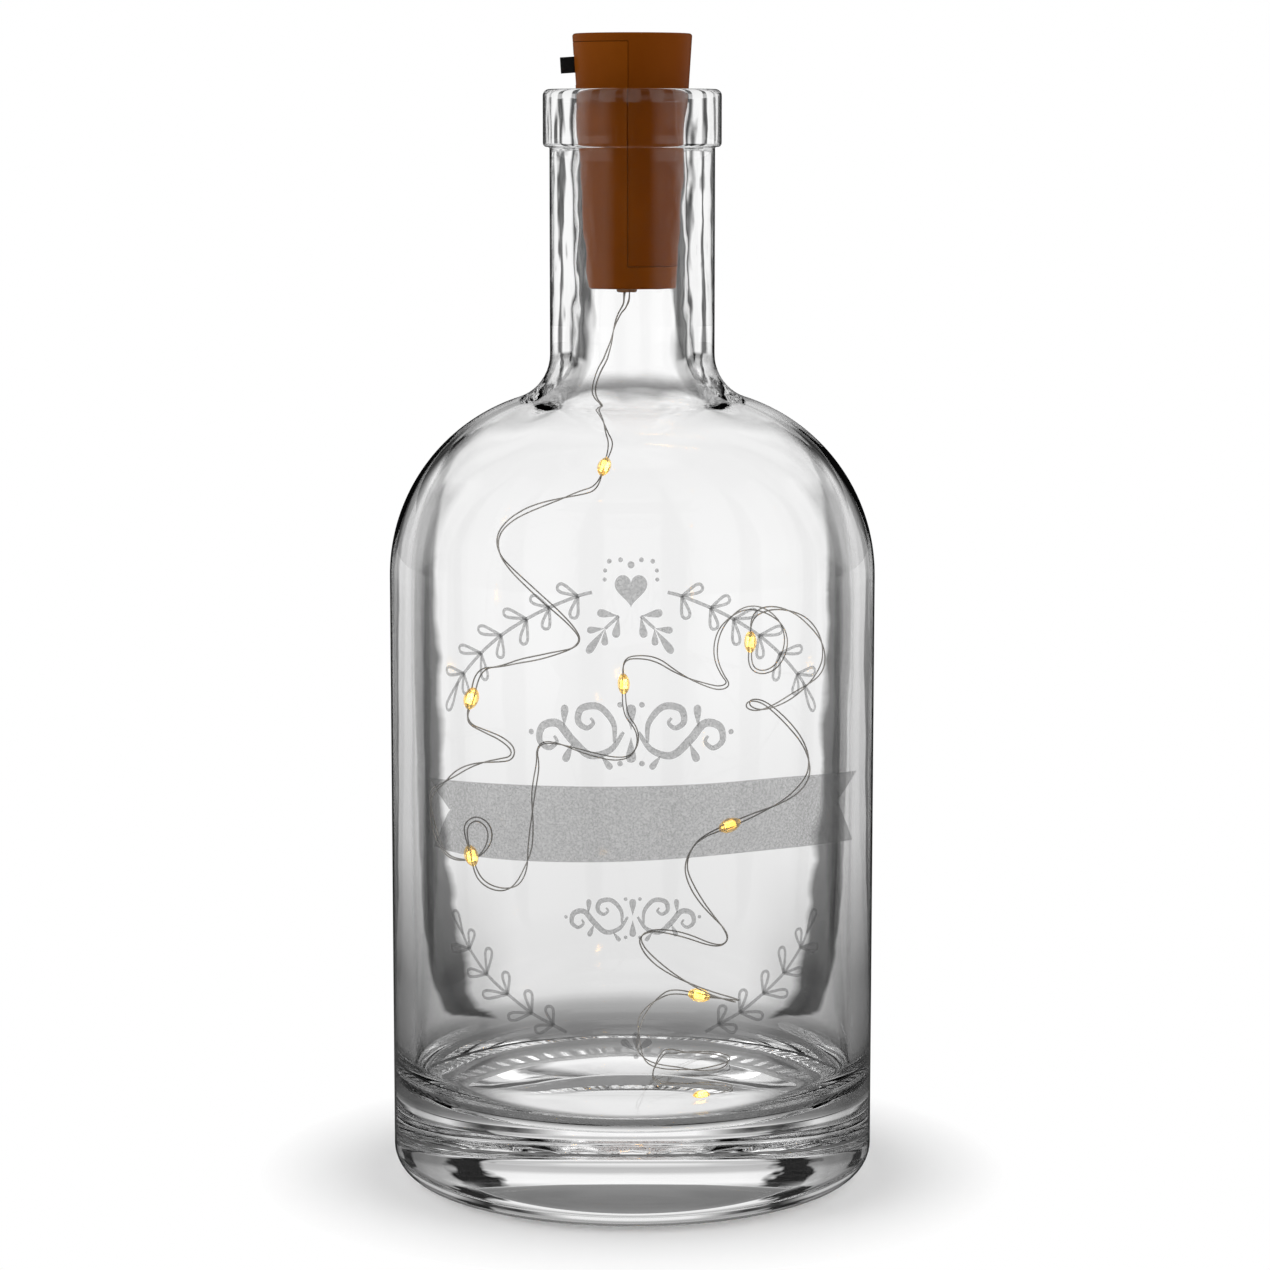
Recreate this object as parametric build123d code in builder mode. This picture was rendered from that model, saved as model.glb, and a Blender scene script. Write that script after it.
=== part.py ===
# A clear glass spirit bottle with a cork-shaped light in its mouth and a string of LEDs on wire inside.
# Millimetres, +Z up, origin at the middle of the bottle's foot. The switch side of the cork faces -X.
import math
import os

from build123d import *

os.makedirs("parts", exist_ok=True)

# Bottle
bottle_radius = 45
bottle_height = 202
bottle_wall = 3.8
heel_radius = 5.5
shoulder_height = 112.9
shoulder_radius = 34.5
neck_radius = 15.2
neck_fillet = 8.5
neck_inner_fillet = 7
lip_radius = 16.4
lip_length = 10.5
lip_round = 1.2
lip_underside_round = 0.25
lip_bottom_round = 0.75
mouth_round = 1
floor_height = 16.5
floor_corner = 8
foot_width = 12
push_up_depth = 3
push_up_round = 1.5

# Button cells, and the cradle that holds them in the cork
cell_radius = 5.8
cell_thickness = 5.4
cell_step = 0.5
cell_face_radius = 4.8
cell_count = 3
cradle_wall = 0.8
cradle_opening = 2
cradle_base = 4
cradle_lid = 1
wire_slot_width = 1.8
wire_channel_depth = 2.2
part_gap = 0.1

# Cork-shaped light: a tapered plug in two half shells, the cap of one piece with the battery cover
cork_rise = 10
cork_top_radius = 10.95
cork_foot_round = 0.5
cork_seat_clearance = 0.15
shell_wall = 1.2
cap_thickness = 1.5
cap_round = 0.5
plug_thickness = 4
split_offset = 0.8

# Rails that hold the battery cover to the switch half
rail_height = 17
rail_fit = 0.15
rail_thickness = 0.5
rail_lip_thickness = 0.7
rail_head_size = 0.6
rail_web = 0.8

# Contacts, circuit board and leads
contact_thickness = 0.3
contact_width = 4
contact_reach = 3
spring_height = 3
spring_foot = 3
spring_crown = 0.8
spring_tip = 2.4
spring_tip_drop = 1.6
contact_leg_width = 1.2
contact_leg_height = 3.2
plate_leg_offset = 5.1
spring_leg_offset = 6.05
board_thickness = 0.8
board_width = 11
board_rise = 3.4
board_foot_gap = 0.05
board_room = 16
resistor_length = 2
resistor_width = 1.2
resistor_thickness = 0.5
resistor_offset = 2.5
resistor_drop = 6
lead_radius = 0.2
lead_spread = 0.45
lead_offset = 6.65
lead_overlap = 1.2
lead_bend = 1
outlet_offset = 1
outlet_radius = 1.3
outlet_fit = 0.05
glue_rise = 2
glue_bead_radius = 1.7
glue_bead_height = 0.7
glue_bead_round = 0.4

# Slide switch, square to the cork's tapered wall
switch_drop = 5.6
switch_wall_gap = 0.25
switch_width = 3.8
switch_length = 6.4
switch_base_thickness = 0.7
switch_can_depth = 1.4
switch_can_wall = 0.2
pin_radius = 0.25
pin_pitch = 2
pin_count = 3
pin_tail = 0.5
knob_width = 2.4
knob_height = 2.9
knob_reach = 2.5
knob_round = 0.3
knob_travel = 2
knob_stem = 1.8
knob_foot = 2.4
knob_foot_thickness = 1
knob_clearance = 0.25
rest_width = 1
rest_spread = 4.6
rest_drop = 8
rest_rise = 2.6

# String of lights: a pair of thin wires side by side, and a resin drop over each LED
wire_pair_diameter = 1
drop_length = 3.9
drop_radius = 1.25
chip_length = 1.6
chip_width = 0.8
chip_thickness = 0.6

overrun = 1

# Route of the wires, chosen by hand: one list of points for each stretch between two lights
string_routes = [
    [(-1, 0, 163.3), (-2.3, -0.5, 161.4), (-3.2, -1, 159), (-3.8, -1.5, 156.5), (-4.6, -2, 154),
     (-5.8, -1.2, 151.5), (-6.6, 0, 149), (-6.9, 1, 146.5), (-6.4, 1.5, 144), (-5.5, 1, 141.5),
     (-4.9, -0.8, 139), (-3.9, -3.2, 136.5)],
    [(-6.4, -10.4, 128.7), (-9.5, -14, 128.2), (-12.5, -17.5, 127.7), (-15.5, -20.8, 127.2),
     (-18.6, -23.8, 126.4), (-21.5, -26.6, 125), (-23.3, -28.8, 122.8), (-23, -30.3, 120),
     (-21, -31.8, 117.6), (-18.3, -33.2, 115.2), (-15.5, -34.5, 112.8), (-12.6, -35.6, 110.4),
     (-10, -36.3, 107.8), (-8.8, -36.4, 105.8), (-10, -36, 104.2), (-13, -35, 103.2),
     (-16.3, -33.3, 102.1), (-19.6, -31.3, 101.2), (-22.7, -29.4, 100), (-26.6, -26.7, 99.2)],
    [(-29.1, -24, 89), (-25.5, -25.7, 87.6), (-22.8, -27, 86.6), (-20.7, -28.4, 85), (-21, -28.4, 83.2),
     (-23.5, -26.3, 82.5), (-26.4, -23.5, 81.7), (-29.4, -20, 80.2), (-32, -16, 78),
     (-34.3, -11.5, 75.6), (-36.7, -6.5, 73.4), (-38, -1.5, 70.8), (-38.4, 2, 67.3), (-37.8, 3.2, 63.7),
     (-36, 1.2, 61), (-33.8, -2.4, 60), (-31.2, -6, 60.3), (-28.6, -9.4, 61.3), (-26.6, -12, 63.6),
     (-25.6, -14.2, 66.3), (-26, -16.5, 69), (-27.8, -18.2, 70.6), (-29.6, -18, 69.4),
     (-29.9, -16.7, 67.2)],
    [(-28.1, -14.2, 59), (-26.2, -15, 57.3), (-23.9, -14.2, 56.3), (-22, -11, 56), (-20.8, -7, 56.4),
     (-20, -2.6, 57.4), (-19.5, 2, 58.8), (-19.4, 6.6, 60.4), (-19.4, 11, 62.4), (-19.4, 15.2, 64.8),
     (-19.5, 19, 67.4), (-19.2, 22.4, 70.2), (-18.8, 25.2, 73), (-19.2, 27.6, 75.4), (-18, 29.6, 76.6),
     (-15, 31.4, 76), (-11.4, 33, 74.6), (-7.4, 34.2, 73.2), (-3.4, 35.2, 72.3), (-0.4, 35.8, 72.6),
     (1.2, 36, 75), (1, 36.1, 78.2), (-1.4, 36.3, 81)],
    [(-1.8, 35.7, 92.1), (2.4, 35, 92.6), (5.4, 34.3, 91.8), (8.2, 33.2, 90), (11.2, 31.8, 88.6),
     (14.4, 29.8, 87.8), (17.4, 27.2, 87.4), (19.2, 25.2, 88.6), (17.8, 24.6, 90.6), (16.6, 25, 93.4),
     (16.5, 25.3, 96.4), (17.4, 24.9, 99.4), (19.4, 23.6, 102), (22.6, 21.7, 103.9), (26, 19.6, 103.7),
     (28.8, 17.6, 102), (30, 16.3, 99), (29.4, 16, 95.8), (27.6, 16.8, 93), (25, 18, 91.8),
     (22.8, 19.5, 93)],
    [(23.2, 19.7, 102.2), (25.6, 17.4, 104.2), (28.8, 14.4, 104.8), (32, 10.8, 104.2),
     (34.6, 6.8, 102.4), (36, 2.4, 99.8), (35.8, -1.8, 96.9), (34, -5.8, 94.7), (31.2, -9.4, 93.1),
     (28.4, -12.8, 91.9), (25.6, -16.2, 90.9), (22.6, -18.8, 90.3), (20.4, -20.7, 91.3),
     (20.6, -22.4, 92.9), (22.8, -22.7, 92.8), (25.4, -21.3, 90.6), (28, -19.6, 87.7), (30.2, -18, 84.7),
     (31.5, -17.2, 81.5), (31.4, -18.2, 78.3), (29.3, -21, 76), (26.2, -24, 74.4), (22.8, -27, 73.4)],
    [(11.7, -32.8, 69.6), (9.8, -33.8, 67), (9.2, -34.4, 64.2), (10.4, -34.5, 61), (12.2, -34.2, 58),
     (14.2, -33.6, 55.4), (16, -33, 53.2), (16.8, -32.6, 51.2), (15.6, -32.6, 49.9), (13.2, -33.1, 50.4),
     (10.2, -33.8, 51.8), (7.2, -34.5, 52.8), (3.6, -35.1, 53.4), (1.2, -35.2, 52.3), (1.8, -34.9, 50),
     (4, -34, 47.3), (7, -32.9, 44.8), (10.5, -31.5, 42.5), (14, -30, 40.6), (17.2, -28.2, 39.2),
     (19, -25.8, 38.1), (17.6, -23.9, 38)],
    [(7, -21.8, 39.2), (4.6, -19.4, 37.2), (2.6, -16.2, 34.6), (1.4, -12.2, 31.5), (1, -7.8, 28.2),
     (1, -3.2, 24.8), (1.4, 1.4, 21.5), (2.6, 5.8, 18.8), (5.4, 8.4, 17.2), (9, 7.6, 17.1),
     (12.8, 6.2, 17.1), (16.2, 8, 17.1), (18.6, 11.8, 17.1), (19, 16.2, 17.1), (16.4, 19.4, 17.1),
     (12.6, 19.6, 17.2), (9.2, 17, 17.9), (7.2, 13.2, 19.2), (6, 9.2, 19.9), (4.8, 5, 19.3),
     (3.6, 1, 17.9), (4.2, -2.6, 17.1), (7.8, -4, 17.1), (12, -3.4, 17.1), (16, -3.6, 17.1),
     (18.8, -6.4, 17.1), (18.2, -10.6, 17.1), (15.6, -14.4, 17.4)],
]
light_places = [
    (-5.2, -7, 132.4), (-28, -25.2, 93.6), (-29, -15.4, 63), (-1.6, 36, 87),
    (23, 19.6, 97.6), (17, -30, 71.4), (12, -22.8, 38.6), (12.6, -18.2, 18.2),
]
run_share = 0.45

# Sizes of the cork and its cradle that follow from the cells
cradle_inner = cell_radius + part_gap
cradle_outer = cradle_inner + cradle_wall
cork_foot_radius = cradle_outer + shell_wall + part_gap
cork_top = bottle_height + cork_rise
cap_underside = cork_top - cap_thickness
cradle_top = cap_underside - board_room
cells_top = cradle_top - cradle_lid - contact_thickness
cells_foot = cells_top - cell_count * cell_thickness
cradle_floor = cells_foot - spring_height
plug_top = cradle_floor - cradle_base
cork_foot = plug_top - plug_thickness
cork_length = cork_top - cork_foot
cork_taper = (cork_top_radius - cork_foot_radius) / cork_length
cork_tilt = math.atan(cork_taper)
split_x = -split_offset
cover_x = split_x + part_gap


def cork_radius(height):
    return cork_foot_radius + (height - cork_foot) * cork_taper


def span_box(low, high, mode=Mode.ADD):
    low, high = Vector(*low), Vector(*high)
    with Locations((low + high) / 2):
        Box(*(high - low), mode=mode)


def cork_cone(low, high, inset=0, seam=1):
    # A slice of the cork's cone between two heights, drawn in from the cork's surface, its seam at +X or -X
    with BuildPart() as cone:
        with BuildSketch(Plane.XZ):
            with BuildLine():
                Polyline((0, low), (seam * (cork_radius(low) - inset), low),
                         (seam * (cork_radius(high) - inset), high), (0, high), close=True)
            make_face()
        revolve(axis=Axis.Z)
    return cone.part


def save(part, name):
    part.label = name
    export_step(part, f"parts/{name}.step")


# Glass bottle: thick base with a push-up under it, round shoulder, straight neck, collar at the mouth
bore_radius = cork_radius(bottle_height - mouth_round) + cork_seat_clearance
push_up_radius = bottle_radius - foot_width
inner_radius = bottle_radius - bottle_wall
inner_shoulder_radius = shoulder_radius - bottle_wall
shoulder_centre = (bottle_radius - shoulder_radius, shoulder_height)
lip_bottom = bottle_height - lip_length


def shoulder_sweep(radius, end_radius):
    return math.degrees(math.acos((end_radius - shoulder_centre[0]) / radius))


neck_sweep = shoulder_sweep(shoulder_radius, neck_radius)
bore_sweep = shoulder_sweep(inner_shoulder_radius, bore_radius)
neck_foot = (neck_radius, shoulder_height + shoulder_radius * math.sin(math.radians(neck_sweep)))
bore_foot = (bore_radius, shoulder_height + inner_shoulder_radius * math.sin(math.radians(bore_sweep)))
bottle_corners = [
    ((push_up_radius, 0), push_up_round),
    ((bottle_radius, 0), heel_radius),
    (neck_foot, neck_fillet),
    ((neck_radius, lip_bottom), lip_underside_round),
    ((lip_radius, lip_bottom), lip_bottom_round),
    ((lip_radius, bottle_height), lip_round),
    ((bore_radius, bottle_height), mouth_round),
    (bore_foot, neck_inner_fillet),
    ((inner_radius, floor_height), floor_corner),
]
with BuildPart() as bottle:
    with BuildSketch(Plane.XZ) as bottle_outline:
        with BuildLine():
            Polyline((push_up_radius, 0), (bottle_radius, 0), (bottle_radius, shoulder_height))
            CenterArc(shoulder_centre, shoulder_radius, 0, neck_sweep)
            Polyline(neck_foot, (neck_radius, lip_bottom), (lip_radius, lip_bottom),
                     (lip_radius, bottle_height), (bore_radius, bottle_height), bore_foot)
            CenterArc(shoulder_centre, inner_shoulder_radius, 0, bore_sweep)
            Polyline((inner_radius, shoulder_height), (inner_radius, floor_height),
                     (0, floor_height), (0, push_up_depth))
            TangentArc((0, push_up_depth), (push_up_radius, 0), tangent=(1, 0))
        make_face()
        for corner, size in bottle_corners:
            fillet(bottle_outline.vertices().sort_by_distance(corner)[0], size)
    revolve(axis=Axis.Z)
save(bottle.part, "bottle")

# Frames of the switch: on the cork's surface at the knob, and on the board's outer face
switch_z = cork_top - switch_drop
switch_plane = Plane(origin=(-cork_radius(switch_z), 0, switch_z), x_dir=(0, -1, 0),
                     z_dir=(-math.cos(cork_tilt), 0, -math.sin(cork_tilt)))
board_face = -(shell_wall + switch_wall_gap + switch_base_thickness + switch_can_depth)
board_back = board_face - board_thickness
board_foot_z = cradle_top + board_foot_gap
board_drop = (switch_z - board_foot_z - board_face * math.sin(cork_tilt)) / math.cos(cork_tilt)
switch_centre = -knob_travel / 2
window_half = knob_stem / 2 + part_gap

# Slices of the cork's cone that the shells, rails and board rests are cut from
wall_middle = cork_cone(cork_foot, cork_top, inset=shell_wall / 2)
body_cone = cork_cone(cork_foot, cap_underside - part_gap)
body_hollow = cork_cone(plug_top, cap_underside, inset=shell_wall)
cover_cone = cork_cone(plug_top + part_gap, cap_underside, seam=-1)
cover_hollow = cork_cone(plug_top, cap_underside, inset=shell_wall, seam=-1)
cap_cone = cork_cone(cap_underside, cork_top, seam=-1)

# Rails: the cover's tongues reach behind lips on the switch half, one at each side
tongue_in = cradle_outer + rail_fit
tongue_out = tongue_in + rail_thickness
lip_back = split_x - rail_lip_thickness
head_front = lip_back - part_gap
head_back = head_front - rail_head_size
with BuildPart() as cover_rails:
    rail_foot = cap_underside - rail_height
    for side in (-1, 1):
        span_box((head_back, min(side * tongue_in, side * tongue_out), rail_foot),
                 (rail_web, max(side * tongue_in, side * tongue_out), cap_underside))
        span_box((head_back, min(side * tongue_in, side * (tongue_out + rail_head_size)), rail_foot),
                 (head_front, max(side * tongue_in, side * (tongue_out + rail_head_size)), cap_underside))
        span_box((0, min(side * tongue_in, side * cork_top_radius), rail_foot),
                 (rail_web, max(side * tongue_in, side * cork_top_radius), cap_underside))
    add(wall_middle, mode=Mode.INTERSECT)
with BuildPart() as body_lips:
    lip_in = tongue_out + part_gap
    for side in (-1, 1):
        span_box((lip_back, min(side * lip_in, side * cork_top_radius), plug_top),
                 (split_x, max(side * lip_in, side * cork_top_radius), cap_underside - part_gap))
    add(wall_middle, mode=Mode.INTERSECT)
with BuildPart(switch_plane) as rest_blocks:
    for side in (-1, 1):
        centre = side * rest_spread
        span_box((centre - rest_width / 2, -rest_drop, board_face),
                 (centre + rest_width / 2, rest_rise, 0))
with BuildPart() as board_rests:
    add(rest_blocks.part)
    add(wall_middle, mode=Mode.INTERSECT)

# Switch half of the cork: half shell on a solid foot, open at the top under the cap
with BuildPart() as cork_body:
    add(body_cone)
    fillet(cork_body.edges().group_by(Axis.Z)[0], cork_foot_round)
    add(body_hollow, mode=Mode.SUBTRACT)
    span_box((split_x, -cork_top_radius, plug_top), (cork_top_radius, cork_top_radius, cork_top),
             mode=Mode.SUBTRACT)
    add(body_lips.part)
    add(board_rests.part)
    with Locations((-outlet_offset, 0, (cork_foot + plug_top) / 2)):
        Cylinder(outlet_radius, plug_thickness + 2 * overrun, mode=Mode.SUBTRACT)
    with BuildSketch(switch_plane):
        with Locations((0, switch_centre)):
            Rectangle(knob_width + 2 * knob_clearance, knob_height + knob_travel + 2 * knob_clearance)
    extrude(amount=shell_wall + overrun, both=True, mode=Mode.SUBTRACT)
save(cork_body.part, "cork_body")

# Battery cover: the other half shell, with the whole cap
with BuildPart() as cap:
    add(cap_cone)
    fillet(cap.edges().group_by(Axis.Z)[-1], cap_round)
with BuildPart() as battery_cover:
    add(cover_cone)
    add(cover_hollow, mode=Mode.SUBTRACT)
    span_box((-cork_top_radius, -cork_top_radius, plug_top), (cover_x, cork_top_radius, cap_underside),
             mode=Mode.SUBTRACT)
    add(cap.part)
    add(cover_rails.part)
save(battery_cover.part, "battery_cover")

# Cradle for the cells, open towards the cover, with a slot and a channel for the leads
with BuildPart() as battery_tray:
    with Locations((0, 0, (plug_top + cradle_top) / 2)):
        Cylinder(cradle_outer, cradle_top - plug_top)
    pocket_top = cells_top + contact_thickness
    with Locations((0, 0, (cradle_floor + pocket_top) / 2)):
        Cylinder(cradle_inner, pocket_top - cradle_floor, mode=Mode.SUBTRACT)
    span_box((cradle_opening, -cradle_outer, cradle_floor), (cradle_outer, cradle_outer, cradle_top),
             mode=Mode.SUBTRACT)
    span_box((-cradle_outer, -wire_slot_width / 2, plug_top),
             (-cell_radius, wire_slot_width / 2, cradle_top), mode=Mode.SUBTRACT)
    span_box((-cradle_outer, -wire_slot_width / 2, plug_top),
             (outlet_radius - outlet_offset, wire_slot_width / 2, plug_top + wire_channel_depth),
             mode=Mode.SUBTRACT)
    span_box((-plate_leg_offset - contact_thickness - part_gap, -wire_slot_width / 2, pocket_top),
             (-plate_leg_offset + part_gap, wire_slot_width / 2, cradle_top), mode=Mode.SUBTRACT)
save(battery_tray.part, "battery_tray")

# Three button cells in a stack
for index in range(cell_count):
    low = cells_foot + index * cell_thickness
    body_thickness = cell_thickness - cell_step
    with BuildPart() as cell:
        with Locations((0, 0, low + body_thickness / 2)):
            Cylinder(cell_radius, body_thickness)
        with Locations((0, 0, low + body_thickness + cell_step / 2)):
            Cylinder(cell_face_radius, cell_step)
    save(cell.part, f"cell_{index + 1}")

# Contact plate over the cells, with a leg up to the board
with BuildPart() as contact_plate:
    span_box((-plate_leg_offset - contact_thickness, -contact_width / 2, cells_top),
             (contact_reach, contact_width / 2, cells_top + contact_thickness))
    span_box((-plate_leg_offset - contact_thickness, -contact_leg_width / 2, cells_top),
             (-plate_leg_offset, contact_leg_width / 2, cells_top + contact_leg_height))
save(contact_plate.part, "contact_plate")

# Contact spring under the cells: a foot, a raised leaf and a leg in the cradle's slot
leaf_foot = cradle_floor + contact_thickness
leaf_top = [(-spring_foot, leaf_foot), (-spring_crown, cells_foot), (spring_crown, cells_foot),
            (spring_tip, cells_foot - spring_tip_drop)]
with BuildPart() as contact_spring:
    span_box((-plate_leg_offset, -contact_width / 2, cradle_floor),
             (contact_reach, contact_width / 2, leaf_foot))
    span_box((-spring_leg_offset - contact_thickness, -contact_leg_width / 2, cradle_floor),
             (0, contact_leg_width / 2, leaf_foot))
    span_box((-spring_leg_offset - contact_thickness, -contact_leg_width / 2, cradle_floor),
             (-spring_leg_offset, contact_leg_width / 2, cradle_top))
    with BuildSketch(Plane.XZ):
        with BuildLine():
            Polyline(*leaf_top, *[(x, z - contact_thickness) for x, z in reversed(leaf_top)], close=True)
        make_face()
    extrude(amount=contact_leg_width / 2, both=True)
save(contact_spring.part, "contact_spring")

# Circuit board behind the switch, with a resistor on its back
with BuildPart(switch_plane) as circuit_board:
    span_box((-board_width / 2, -board_drop, board_back), (board_width / 2, board_rise, board_face))
    with Locations((0, switch_centre, (board_back + board_face) / 2)):
        with GridLocations(pin_pitch, pin_pitch, 1, pin_count):
            Cylinder(pin_radius + part_gap, board_thickness + 2 * overrun, mode=Mode.SUBTRACT)
save(circuit_board.part, "circuit_board")

with BuildPart(switch_plane) as resistor:
    with Locations((resistor_offset, -resistor_drop, board_back - resistor_thickness / 2)):
        Box(resistor_width, resistor_length, resistor_thickness)
save(resistor.part, "resistor")

# Slide switch: base, pins through the board, metal can and knob
can_back = board_face + switch_base_thickness
can_front = can_back + switch_can_depth
with BuildPart(switch_plane) as switch_base:
    with Locations((0, switch_centre, (board_face + can_back) / 2)):
        Box(switch_width, switch_length, switch_base_thickness)
save(switch_base.part, "switch_base")

with BuildPart(switch_plane) as switch_pins:
    pin_length = board_thickness + pin_tail
    with Locations((0, switch_centre, board_face - pin_length / 2)):
        with GridLocations(pin_pitch, pin_pitch, 1, pin_count):
            Cylinder(pin_radius, pin_length)
save(switch_pins.part, "switch_pins")

with BuildPart(switch_plane) as switch_can:
    with Locations((0, switch_centre, (can_back + can_front) / 2)):
        Box(switch_width, switch_length, switch_can_depth)
    with Locations((0, switch_centre, (can_back + can_front) / 2 - switch_can_wall)):
        Box(switch_width - 2 * switch_can_wall, switch_length - 2 * switch_can_wall, switch_can_depth,
            mode=Mode.SUBTRACT)
    with Locations((0, switch_centre, can_front)):
        Box(2 * window_half, 2 * window_half + knob_travel, switch_can_depth, mode=Mode.SUBTRACT)
save(switch_can.part, "switch_can")

with BuildPart(switch_plane) as switch_knob:
    foot_low = can_back + part_gap
    cap_low = can_front + switch_wall_gap
    with Locations((0, 0, foot_low + knob_foot_thickness / 2)):
        Box(knob_foot, knob_foot, knob_foot_thickness)
    with Locations((0, 0, (foot_low + cap_low) / 2)):
        Box(knob_stem, knob_stem, cap_low - foot_low)
    with Locations((0, 0, (cap_low + knob_reach) / 2)):
        Box(knob_width, knob_height, knob_reach - cap_low)
    fillet(switch_knob.edges().group_by(SortBy.DISTANCE)[-1], knob_round)
save(switch_knob.part, "switch_knob")

# Leads from the board down the cradle's slot and along its channel to the outlet
lead_top = board_foot_z + lead_overlap
lead_turn = plug_top + wire_channel_depth / 2
glue_top = cork_foot + glue_rise
with BuildPart() as lead_wires:
    for side in (-1, 1):
        y = side * lead_spread
        with BuildLine() as lead_path:
            FilletPolyline((-lead_offset, y, lead_top), (-lead_offset, y, lead_turn),
                           (-outlet_offset, y, lead_turn), (-outlet_offset, y, glue_top), radius=lead_bend)
        with BuildSketch(Plane(origin=lead_path.line @ 0, z_dir=lead_path.line % 0)):
            Circle(lead_radius)
        sweep()
save(lead_wires.part, "lead_wires")

# Glue in the outlet, with a bead under the cork that the string comes out of
glue_foot = cork_foot - glue_bead_height
with BuildPart() as outlet_glue:
    with Locations((-outlet_offset, 0, (cork_foot + glue_top) / 2)):
        Cylinder(outlet_radius - outlet_fit, glue_rise)
    with Locations((-outlet_offset, 0, (glue_foot + cork_foot) / 2)):
        Cylinder(glue_bead_radius, glue_bead_height)
    fillet(outlet_glue.edges().group_by(Axis.Z)[0], glue_bead_round)
save(outlet_glue.part, "outlet_glue")

# Lights: each lies along the line from the route point before it to the one after it
lights = []
for index, place in enumerate(light_places):
    before = Vector(*string_routes[index][-1])
    is_last = index == len(light_places) - 1
    after = Vector(*place) if is_last else Vector(*string_routes[index + 1][0])
    along = (after - before).normalized()
    across = along.cross(Vector(0, 0, 1)).normalized()
    lights.append((Vector(*place), along, across))

for index, (place, along, across) in enumerate(lights):
    half = drop_length / 2
    wire_radius = wire_pair_diameter / 2
    light_plane = Plane(origin=place, x_dir=along, z_dir=across)
    with BuildPart(light_plane) as led_chip:
        Box(chip_length, chip_width, chip_thickness)
    save(led_chip.part, f"led_chip_{index + 1}")
    with BuildPart() as led_drop:
        with BuildSketch(light_plane):
            with BuildLine():
                ThreePointArc((-half, wire_radius), (0, drop_radius), (half, wire_radius))
                Polyline((half, wire_radius), (half, 0), (-half, 0), (-half, wire_radius))
            make_face()
        revolve(axis=Axis(place, along))
        add(led_chip.part, mode=Mode.SUBTRACT)
    save(led_drop.part, f"led_drop_{index + 1}")

# Wire pairs between the lights: straight runs joined by arcs as large as the runs allow
outlet = Vector(-outlet_offset, 0, glue_foot)
string_length = 0
for index, inner_points in enumerate(string_routes):
    place, along, across = lights[index]
    start = outlet if index == 0 else lights[index - 1][0] + lights[index - 1][1] * (drop_length / 2)
    points = [start, *[Vector(*point) for point in inner_points], place - along * (drop_length / 2)]
    radii = []
    for before, here, after in zip(points, points[1:], points[2:]):
        half_turn = math.radians((here - before).get_angle(after - here)) / 2
        shorter = min((here - before).length, (after - here).length)
        radii.append(run_share * shorter / math.tan(half_turn))
    with BuildPart() as string:
        with BuildLine() as string_path:
            FilletPolyline(*points, radius=radii)
        with BuildSketch(Plane(origin=string_path.line @ 0, z_dir=string_path.line % 0)):
            Circle(wire_pair_diameter / 2)
        sweep()
    save(string.part, f"string_{index + 1}")
    length = sum(edge.length for edge in string_path.edges())
    string_length += length + drop_length
    section = math.pi * wire_pair_diameter**2 / 4
    print(f"string_{index + 1}: {length:.1f} mm, volume share {string.part.volume / (section * length):.4f},"
          f" smallest bend {min(radii):.2f} mm, largest {max(radii):.1f} mm")
print(f"whole string: {string_length:.0f} mm, lights included")
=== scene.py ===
# Cork bottle light: clear glass bottle, cork-shaped light and a wire string of LEDs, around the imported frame
import math

import bpy
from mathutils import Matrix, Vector, noise


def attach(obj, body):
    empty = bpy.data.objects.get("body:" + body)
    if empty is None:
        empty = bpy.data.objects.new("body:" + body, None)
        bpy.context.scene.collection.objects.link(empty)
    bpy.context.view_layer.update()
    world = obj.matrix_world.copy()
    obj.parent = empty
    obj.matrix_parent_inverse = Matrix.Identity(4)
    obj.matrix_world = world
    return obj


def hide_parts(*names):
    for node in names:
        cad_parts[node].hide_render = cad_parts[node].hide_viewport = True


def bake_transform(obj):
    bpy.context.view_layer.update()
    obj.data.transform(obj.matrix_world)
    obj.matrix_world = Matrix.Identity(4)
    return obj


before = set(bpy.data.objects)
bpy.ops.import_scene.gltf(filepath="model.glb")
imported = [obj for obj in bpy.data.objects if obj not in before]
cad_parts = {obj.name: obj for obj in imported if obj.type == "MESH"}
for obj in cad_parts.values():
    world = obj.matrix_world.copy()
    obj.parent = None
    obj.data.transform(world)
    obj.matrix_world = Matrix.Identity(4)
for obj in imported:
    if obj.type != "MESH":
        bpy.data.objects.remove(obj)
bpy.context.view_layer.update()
scene = bpy.context.scene
scene.view_settings.view_transform = "Standard"
mm = 0.001


def smooth(start, end, value):
    # Soft step: 0 at the start, 1 at the end
    share = min(max((value - start) / (end - start), 0), 1)
    return share * share * (3 - 2 * share)


def newMaterial(name, plain):
    # Material whose shader has plain values in the named sockets
    material = bpy.data.materials.new(name)
    material.use_nodes = True
    nodes = material.node_tree.nodes
    shader = nodes["Principled BSDF"]
    for socket, value in plain.items():
        shader.inputs[socket].default_value = value
    return material, nodes, material.node_tree.links, shader


def addNode(nodes, kind, **settings):
    # Settings are the node's own, but in0, in1 and so on are values of its inputs
    node = nodes.new(kind)
    for name, value in settings.items():
        if name.startswith("in"):
            node.inputs[int(name[2:])].default_value = value
        else:
            setattr(node, name, value)
    return node


def mathNode(nodes, links, operation, *values):
    node = addNode(nodes, "ShaderNodeMath", operation=operation)
    for index, value in enumerate(values):
        if isinstance(value, (int, float)):
            node.inputs[index].default_value = value
        else:
            links.new(value, node.inputs[index])
    return node.outputs[0]


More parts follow.
